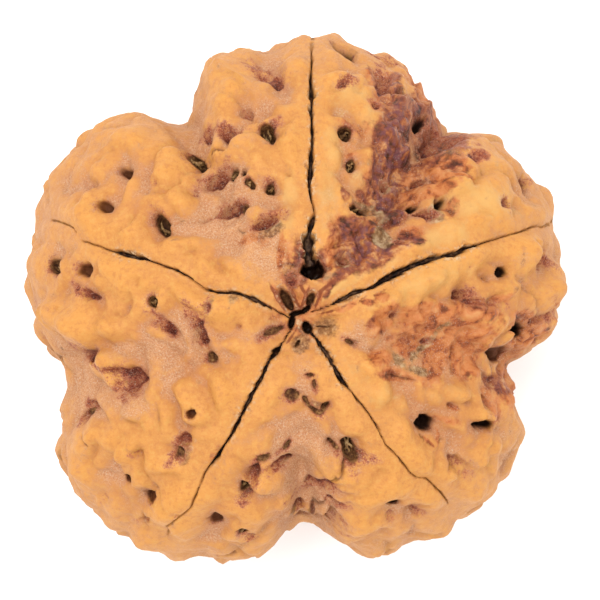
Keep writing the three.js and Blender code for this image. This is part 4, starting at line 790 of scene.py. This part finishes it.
d = directions_of(seed.data)
places, shown = surface(d)
places = (places + SEED_MIDDLE) * MM
seed.data.vertices.foreach_set("co", places.ravel())
for name, values in shown.items():
    seed.data.attributes.new(name, "FLOAT", "POINT").data.foreach_set("value", values.astype(np.float32))
seed.data.update()
bpy.ops.object.select_all(action="DESELECT")
seed.select_set(True)
bpy.context.view_layer.objects.active = seed
bpy.ops.object.shade_smooth()


# A colour as the eye reads it under the studio's light, which is brighter than white paper by this much.
full_light = 2.1


def seen(red, green, blue):
    linear = [((c / 255 + 0.055) / 1.055) ** 2.4 / full_light for c in (red, green, blue)]
    return (*linear, 1)


def new_finish(name):
    finish = bpy.data.materials.new(name)
    finish.use_nodes = True
    return finish, finish.node_tree.nodes, finish.node_tree.links, finish.node_tree.nodes["Principled BSDF"]


shell, nodes, links, skin_shader = new_finish("dry_shell_skin")


def add(kind, **settings):
    node = nodes.new(kind)
    for name, value in settings.items():
        setattr(node, name, value)
    return node


# Places on the piece in mm, which every pattern reads.
def places_in_mm():
    scaled = add("ShaderNodeVectorMath", operation="SCALE")
    scaled.inputs["Scale"].default_value = 1 / MM
    links.new(add("ShaderNodeTexCoord").outputs["Object"], scaled.inputs[0])
    return scaled.outputs[0]


in_mm = places_in_mm()


def noise_at(scale, detail=3.0, rough=0.55, swirl=0.0):
    node = add("ShaderNodeTexNoise")
    node.inputs["Scale"].default_value = scale
    node.inputs["Detail"].default_value = detail
    node.inputs["Roughness"].default_value = rough
    node.inputs["Distortion"].default_value = swirl
    links.new(in_mm, node.inputs["Vector"])
    return node.outputs["Fac"]


def math_of(operation, first, second):
    node = add("ShaderNodeMath", operation=operation)
    for socket, value in zip(node.inputs, (first, second)):
        if isinstance(value, (int, float)):
            socket.default_value = value
        else:
            links.new(value, socket)
    return node.outputs[0]


def product(first, second):
    return math_of("MULTIPLY", first, second)


def added(first, *others):
    for other in others:
        first = math_of("ADD", first, other)
    return first


# A noise swung about its middle, by this much.
def swung(value, by):
    return product(math_of("SUBTRACT", value, 0.5), by)


def ranged(value, low, high, to_low=0.0, to_high=1.0):
    node = add("ShaderNodeMapRange", interpolation_type="SMOOTHSTEP")
    links.new(value, node.inputs["Value"])
    for name, number in (("From Min", low), ("From Max", high), ("To Min", to_low), ("To Max", to_high)):
        node.inputs[name].default_value = number
    return node.outputs["Result"]


def painted(name):
    node = add("ShaderNodeAttribute", attribute_name=name)
    return node.outputs["Fac"]


def mixed(share, under, over):
    node = add("ShaderNodeMix", data_type="RGBA")
    links.new(share, node.inputs["Factor"])
    for socket, value in ((node.inputs[6], under), (node.inputs[7], over)):
        if isinstance(value, tuple):
            socket.default_value = value
        else:
            links.new(value, socket)
    return node.outputs[2]


# A colour for each stop of a noise, from its low values to its high ones.
def ramp(value, *stops):
    node = add("ShaderNodeValToRGB")
    links.new(value, node.inputs["Fac"])
    for _ in stops[2:]:
        node.color_ramp.elements.new(0.5)
    for element, (position, red, green, blue) in zip(node.color_ramp.elements, stops):
        element.position = position
        element.color = seen(red, green, blue)
    return node.outputs["Color"]


# A bump of the given strength, where a height of 1 stands this far out in mm.
def bumped(height_map, strength, distance):
    bump = add("ShaderNodeBump")
    bump.inputs["Strength"].default_value = strength
    bump.inputs["Distance"].default_value = distance * MM
    links.new(height_map, bump.inputs["Height"])
    return bump.outputs["Normal"]


# The colours of the shell and of what lies on it.
tan, pale_tan, brown_tan, raised_highlight = (
    seen(234, 158, 84), seen(245, 170, 93), seen(224, 146, 78), seen(251, 174, 88)
)
dull_fleck, bright_fleck, dark_speck, pale_speck = (
    seen(218, 140, 80), seen(252, 190, 104), seen(212, 136, 82), seen(255, 204, 130)
)
hollow_shade_red, cream_and_highlight, violet_sheen, line_brown = (
    seen(208, 124, 70), seen(252, 200, 122), seen(124, 74, 90), seen(150, 74, 44)
)
frost, wall_brown, pit_shade, slit_shade, slit_brown = (
    seen(252, 222, 196), seen(148, 84, 48), seen(40, 21, 13), seen(34, 19, 14), seen(112, 68, 40)
)

# The skin: waxy tan with painted highlight, more golden where it is raised, with flecks and specks.
broad, fine, speckle = noise_at(0.7, 4), noise_at(3.5, 4), noise_at(14, 2, 0.7)
crumbs, frosting, patches = noise_at(6, 5, 0.65), noise_at(20, 2, 0.6), noise_at(1.6, 5, 0.6)
flecks, blotches = noise_at(4.2, 5, 0.65), noise_at(1.7, 7, 0.68, 0.4)
colour = mixed(ranged(broad, 0.35, 0.65), tan, pale_tan)
colour = mixed(ranged(patches, 0.5, 0.7, 0, 0.6), colour, brown_tan)
# Painted highlight: the raised skin is painted more golden.
colour = mixed(product(ranged(painted("relief"), 0.1, 0.5), 0.8), colour, raised_highlight)
colour = mixed(ranged(flecks, 0.5, 0.64, 0, 0.5), colour, dull_fleck)
colour = mixed(ranged(flecks, 0.47, 0.35, 0, 0.45), colour, bright_fleck)
colour = mixed(ranged(speckle, 0.5, 0.7, 0, 0.13), colour, dark_speck)
colour = mixed(ranged(speckle, 0.5, 0.32, 0, 0.13), colour, pale_speck)


# A stain's share, where its edge is broken up by the grain of the skin.
def broken(name, strength, by=0.6, edge=(0.2, 0.6)):
    pushed = added(painted(name), added(swung(patches, by * 2), swung(flecks, by)))
    return product(ranged(pushed, *edge), strength)


# Hollows get a painted shade of deeper red, and pink dust lies in them.
low = ranged(painted("relief"), 0.16, -0.14)
colour = mixed(product(low, ranged(patches, 0.36, 0.6, 0.35, 0.9)), colour, hollow_shade_red)
dusty = added(product(low, 0.65), painted("dust"), swung(patches, 1.4), swung(flecks, 0.7))
dusty = ranged(dusty, 0.2, 1.1, 0, 0.84)
dust_colour = ramp(
    speckle, (0.34, 217, 149, 105), (0.5, 240, 175, 126), (0.62, 249, 193, 146), (0.74, 255, 222, 190),
)
colour = mixed(dusty, colour, dust_colour)
# Cream on the ridges, partly a painted highlight.
colour = mixed(broken("cream_and_highlight", 0.62, 0.9, (0.15, 1.0)), colour, cream_and_highlight)

# The eroded areas: rust, purple with a violet sheen, olive leftovers, and crumbs and lines by the middle.
crusty = added(product(blotches, 0.86), product(painted("crust"), 0.14))
rust_colour = ramp(
    crusty, (0.37, 124, 58, 34), (0.42, 172, 88, 50), (0.46, 206, 112, 62), (0.5, 224, 136, 76),
    (0.55, 234, 146, 88), (0.66, 242, 170, 108),
)
colour = mixed(broken("rust", 0.9), colour, rust_colour)
purple_colour = ramp(
    crusty, (0.38, 72, 34, 24), (0.43, 116, 56, 38), (0.47, 148, 76, 54), (0.51, 170, 92, 58),
    (0.56, 200, 122, 74), (0.62, 234, 166, 106),
)
violet = product(ranged(painted("purple"), 0.6, 1.0), ranged(fine, 0.44, 0.6, 0, 0.65))
colour = mixed(broken("purple", 0.95, 0.45), colour, mixed(violet, purple_colour, violet_sheen))
olive_colour = ramp(
    fine, (0.36, 108, 76, 50), (0.46, 156, 119, 79), (0.56, 194, 157, 112), (0.66, 228, 195, 148),
)
colour = mixed(broken("olive", 0.85), colour, olive_colour)
crumb_colour = ramp(
    crumbs, (0.38, 104, 66, 44), (0.48, 148, 100, 64), (0.56, 184, 132, 86), (0.66, 224, 180, 128),
)
colour = mixed(broken("crumbs", 0.8, 0.9, (0.3, 0.9)), colour, crumb_colour)
colour = mixed(broken("line", 0.85, 0.8, (0.3, 0.8)), colour, line_brown)

# Pit rims: maroon stain, with painted shade on the steep inner walls; frost-like specks; whitish flecks on
# edges.
grainy = added(swung(speckle, 1.3), swung(patches, 1.2), swung(flecks, 1.2))
rim_stain_and_shade = added(painted("rim"), product(grainy, ranged(painted("rim"), 0.0, 0.3)))
rim_stain_and_shade_colour = ramp(
    rim_stain_and_shade, (0.2, 226, 156, 112), (0.46, 202, 118, 82), (0.7, 160, 74, 54), (0.94, 108, 42, 34),
)
colour = mixed(ranged(rim_stain_and_shade, 0.12, 0.55, 0, 0.94), colour, rim_stain_and_shade_colour)
specks = product(ranged(frosting, 0.58, 0.68), math_of("MAXIMUM", dusty, painted("rim")))
colour = mixed(product(specks, 0.75), colour, frost)
crusted = ramp(crumbs, (0.4, 156, 104, 68), (0.47, 226, 180, 128), (0.56, 248, 214, 170))
colour = mixed(product(painted("edge"), ranged(flecks, 0.46, 0.6, 0, 0.85)), colour, crusted)

# Inside pits and fissures: brown walls, fibres, packed leftovers, and painted shade that darkens them.
colour = mixed(ranged(painted("brown"), 0.2, 1.0, 0, 0.85), colour, wall_brown)
strands = ramp(crumbs, (0.38, 78, 46, 28), (0.48, 122, 80, 46), (0.58, 164, 116, 68), (0.68, 204, 158, 100))
colour = mixed(ranged(painted("fibre"), 0.2, 0.8, 0, 0.9), colour, strands)
# Painted shade inside the fissures, broken with brown.
slit_colour = mixed(ranged(flecks, 0.48, 0.64), slit_shade, slit_brown)
filled = ramp(flecks, (0.38, 64, 40, 32), (0.5, 108, 77, 58), (0.62, 152, 118, 88))
slit_colour = mixed(product(painted("fill"), ranged(patches, 0.42, 0.54)), slit_colour, filled)
colour = mixed(ranged(painted("fissure"), 0.25, 0.85), colour, slit_colour)
# Painted shade: the pit floors are painted dark.
colour = mixed(ranged(painted("pit"), 0.15, 1.0, 0, 0.97), colour, pit_shade)
links.new(colour, skin_shader.inputs["Base Color"])

# The skin is half matt, dust makes it duller, and the purple areas are waxier.
roughness = math_of("SUBTRACT", added(0.5, product(dusty, 0.35)), product(painted("purple"), 0.15))
links.new(roughness, skin_shader.inputs["Roughness"])
skin_shader.inputs["Specular IOR Level"].default_value = 0.12
height_map = added(product(speckle, added(0.15, dusty)), product(fine, 0.85))
links.new(bumped(height_map, 0.7, 0.08), skin_shader.inputs["Normal"])
seed.data.materials.append(shell)
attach(seed, "root")
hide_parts("rudraksha_seed")

# The dried fibres are what is left of the fruit's threads: stiff, yellowish strands caught in the
# deeper pits. Each is one bent, tapering thread, stuck to the floor of its pit. It is modelled once,
# and each copy is turned and stretched to fit.
strand_thick = 0.065
strand_sides = 6
strand_steps = 8
strand_taper = 1.4
strand_bend = {"arch": 0.22, "sway": 0.07, "wave": 0.04, "waves": 2.4, "sink": 0.1}
strands_per_pit = 3
strand_off_floor = 0.12
strand_flat = 0.6
lies = {"aside": 0.9, "back": 0.6, "turn": 1.2, "stretch": (0.8, 1.5), "thick": (0.7, 1.1), "seed": 19}

bpy.ops.object.select_all(action="DESELECT")
bpy.ops.mesh.primitive_cylinder_add(
    vertices=strand_sides, radius=strand_thick, depth=1, end_fill_type="NGON",
)
strand = bpy.context.object
strand.name = "dried_fibre"
bpy.ops.object.mode_set(mode="EDIT")
bpy.ops.mesh.select_mode(type="EDGE")
bpy.ops.mesh.select_all(action="DESELECT")
bpy.ops.object.mode_set(mode="OBJECT")
for edge in strand.data.edges:
    ends = [strand.data.vertices[i].co.z for i in edge.vertices]
    edge.select = abs(ends[0] - ends[1]) > 0.5
bpy.ops.object.mode_set(mode="EDIT")
bpy.ops.mesh.subdivide(number_cuts=strand_steps - 1)
bpy.ops.mesh.select_all(action="DESELECT")
bpy.ops.object.mode_set(mode="OBJECT")
for vertex in strand.data.vertices:
    along = vertex.co.z
    taper = 1 - strand_taper * along ** 2
    turned = math.pi * along
    arch = strand_bend["arch"] * math.cos(turned) + strand_bend["sway"] * math.sin(3 * turned)
    wave = strand_bend["wave"] * math.sin(strand_bend["waves"] * turned)
    vertex.co = (along, vertex.co.y * taper + wave, vertex.co.x * taper + arch - strand_bend["sink"])
bpy.ops.object.shade_smooth()

fibre, nodes, links, fibre_shader = new_finish("dried_fibre")
in_mm = places_in_mm()
fibre_colour = ramp(noise_at(6, 3), (0.36, 120, 82, 46), (0.5, 172, 126, 74), (0.64, 218, 178, 120))
links.new(fibre_colour, fibre_shader.inputs["Base Color"])
fibre_shader.inputs["Roughness"].default_value = 0.55
fibre_shader.inputs["Specular IOR Level"].default_value = 0.2
links.new(bumped(noise_at(20, 2), 0.3, 0.02), fibre_shader.inputs["Normal"])
strand.data.materials.append(fibre)

draw = seeded_draw(lies["seed"])
strands_wanted = []
for pit in pits:
    if pit["fibre"] < 1:
        continue
    first, second, _ = pit["axes"] / np.linalg.norm(pit["axes"], axis=1)[:, None]
    half = 1 / np.linalg.norm(pit["axes"], axis=1)
    for _ in range(strands_per_pit):
        aside = (draw() - 0.5) * half[1] * lies["aside"]
        back = (draw() - 0.5) * half[0] * lies["back"]
        turn = (draw() - 0.5) * lies["turn"]
        stretch = between(*lies["stretch"], draw()) * half[0]
        across = first * math.cos(turn) + second * math.sin(turn)
        strands_wanted.append((pit["centre"] + first * back + second * aside, across, stretch, draw()))
middles = np.array([wanted[0] for wanted in strands_wanted])
ways_out = middles / np.linalg.norm(middles, axis=1)[:, None]
floors, _ = surface(ways_out)
ways_out = pit_axis(ways_out)
for (_, across, stretch, roll), floor_there, way_out in zip(strands_wanted, floors, ways_out):
    out = Vector(way_out)
    along = Vector(across)
    along = (along - out * along.dot(out)).normalized()
    sideways = out.cross(along)
    bpy.ops.object.select_all(action="DESELECT")
    strand.select_set(True)
    bpy.context.view_layer.objects.active = strand
    bpy.ops.object.duplicate(linked=False)
    copy = bpy.context.object
    thick = between(*lies["thick"], roll)
    spot = Vector(floor_there + SEED_MIDDLE) + out * strand_off_floor
    turned = Matrix((along * stretch, sideways * thick, out * thick * strand_flat)).transposed().to_4x4()
    copy.data.transform(Matrix.Translation(spot * MM) @ turned @ Matrix.Scale(MM, 4))
    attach(copy, "root")
bpy.ops.object.select_all(action="DESELECT")
strand.select_set(True)
bpy.ops.object.delete()

# The floor is a plain, pale, matt sheet that the seed lies on. The studio is white on all sides,
# and one soft lamp above the seed, a little to the upper left, gives it its gentle shadows.
floor_width = 12
floor_grey = (0.93, 0.93, 0.93, 1)
room_light = 1.7
lamp_place = (-0.06, 0.075, 0.4)
lamp_width = 0.15
lamp_power = 0.95

bpy.ops.object.select_all(action="DESELECT")
bpy.ops.mesh.primitive_plane_add(size=floor_width, location=(0, 0, 0))
floor = bpy.context.object
floor.name = "floor"
pale, _, _, pale_shader = new_finish("pale_floor")
pale_shader.inputs["Base Color"].default_value = floor_grey
pale_shader.inputs["Roughness"].default_value = 0.9
pale_shader.inputs["Specular IOR Level"].default_value = 0.1
floor.data.materials.append(pale)

scene = bpy.context.scene
scene.view_settings.view_transform = "Standard"
world = bpy.data.worlds.new("studio")
world.use_nodes = True
world.node_tree.nodes["Background"].inputs["Color"].default_value = (1, 1, 1, 1)
world.node_tree.nodes["Background"].inputs["Strength"].default_value = room_light
scene.world = world

light = bpy.data.lights.new("overhead", "AREA")
light.size = lamp_width
light.energy = lamp_power
lamp = bpy.data.objects.new("overhead", light)
scene.collection.objects.link(lamp)
lamp.location = lamp_place
lamp.rotation_mode = "QUATERNION"
lamp.rotation_quaternion = Vector(lamp_place).to_track_quat("Z", "Y")
lamp.visible_camera = False

# The camera looks straight down on the face where the fissures meet. It stands far off with a long
# lens, so that the sides of the seed don't narrow towards the floor.
photo_width = 0.024
camera_height = 1.0
camera_aside = (0.000185, -0.00009)
sensor_width = 36

camera = bpy.data.objects.new("camera", bpy.data.cameras.new("camera"))
scene.collection.objects.link(camera)
camera.data.sensor_width = sensor_width
camera.data.lens = sensor_width * camera_height / photo_width
camera.data.clip_start = 0.01
camera.data.clip_end = 10
camera.location = (*camera_aside, camera_height + SEED_MIDDLE[2] * MM)
camera.rotation_euler = (0, 0, 0)
scene.camera = camera
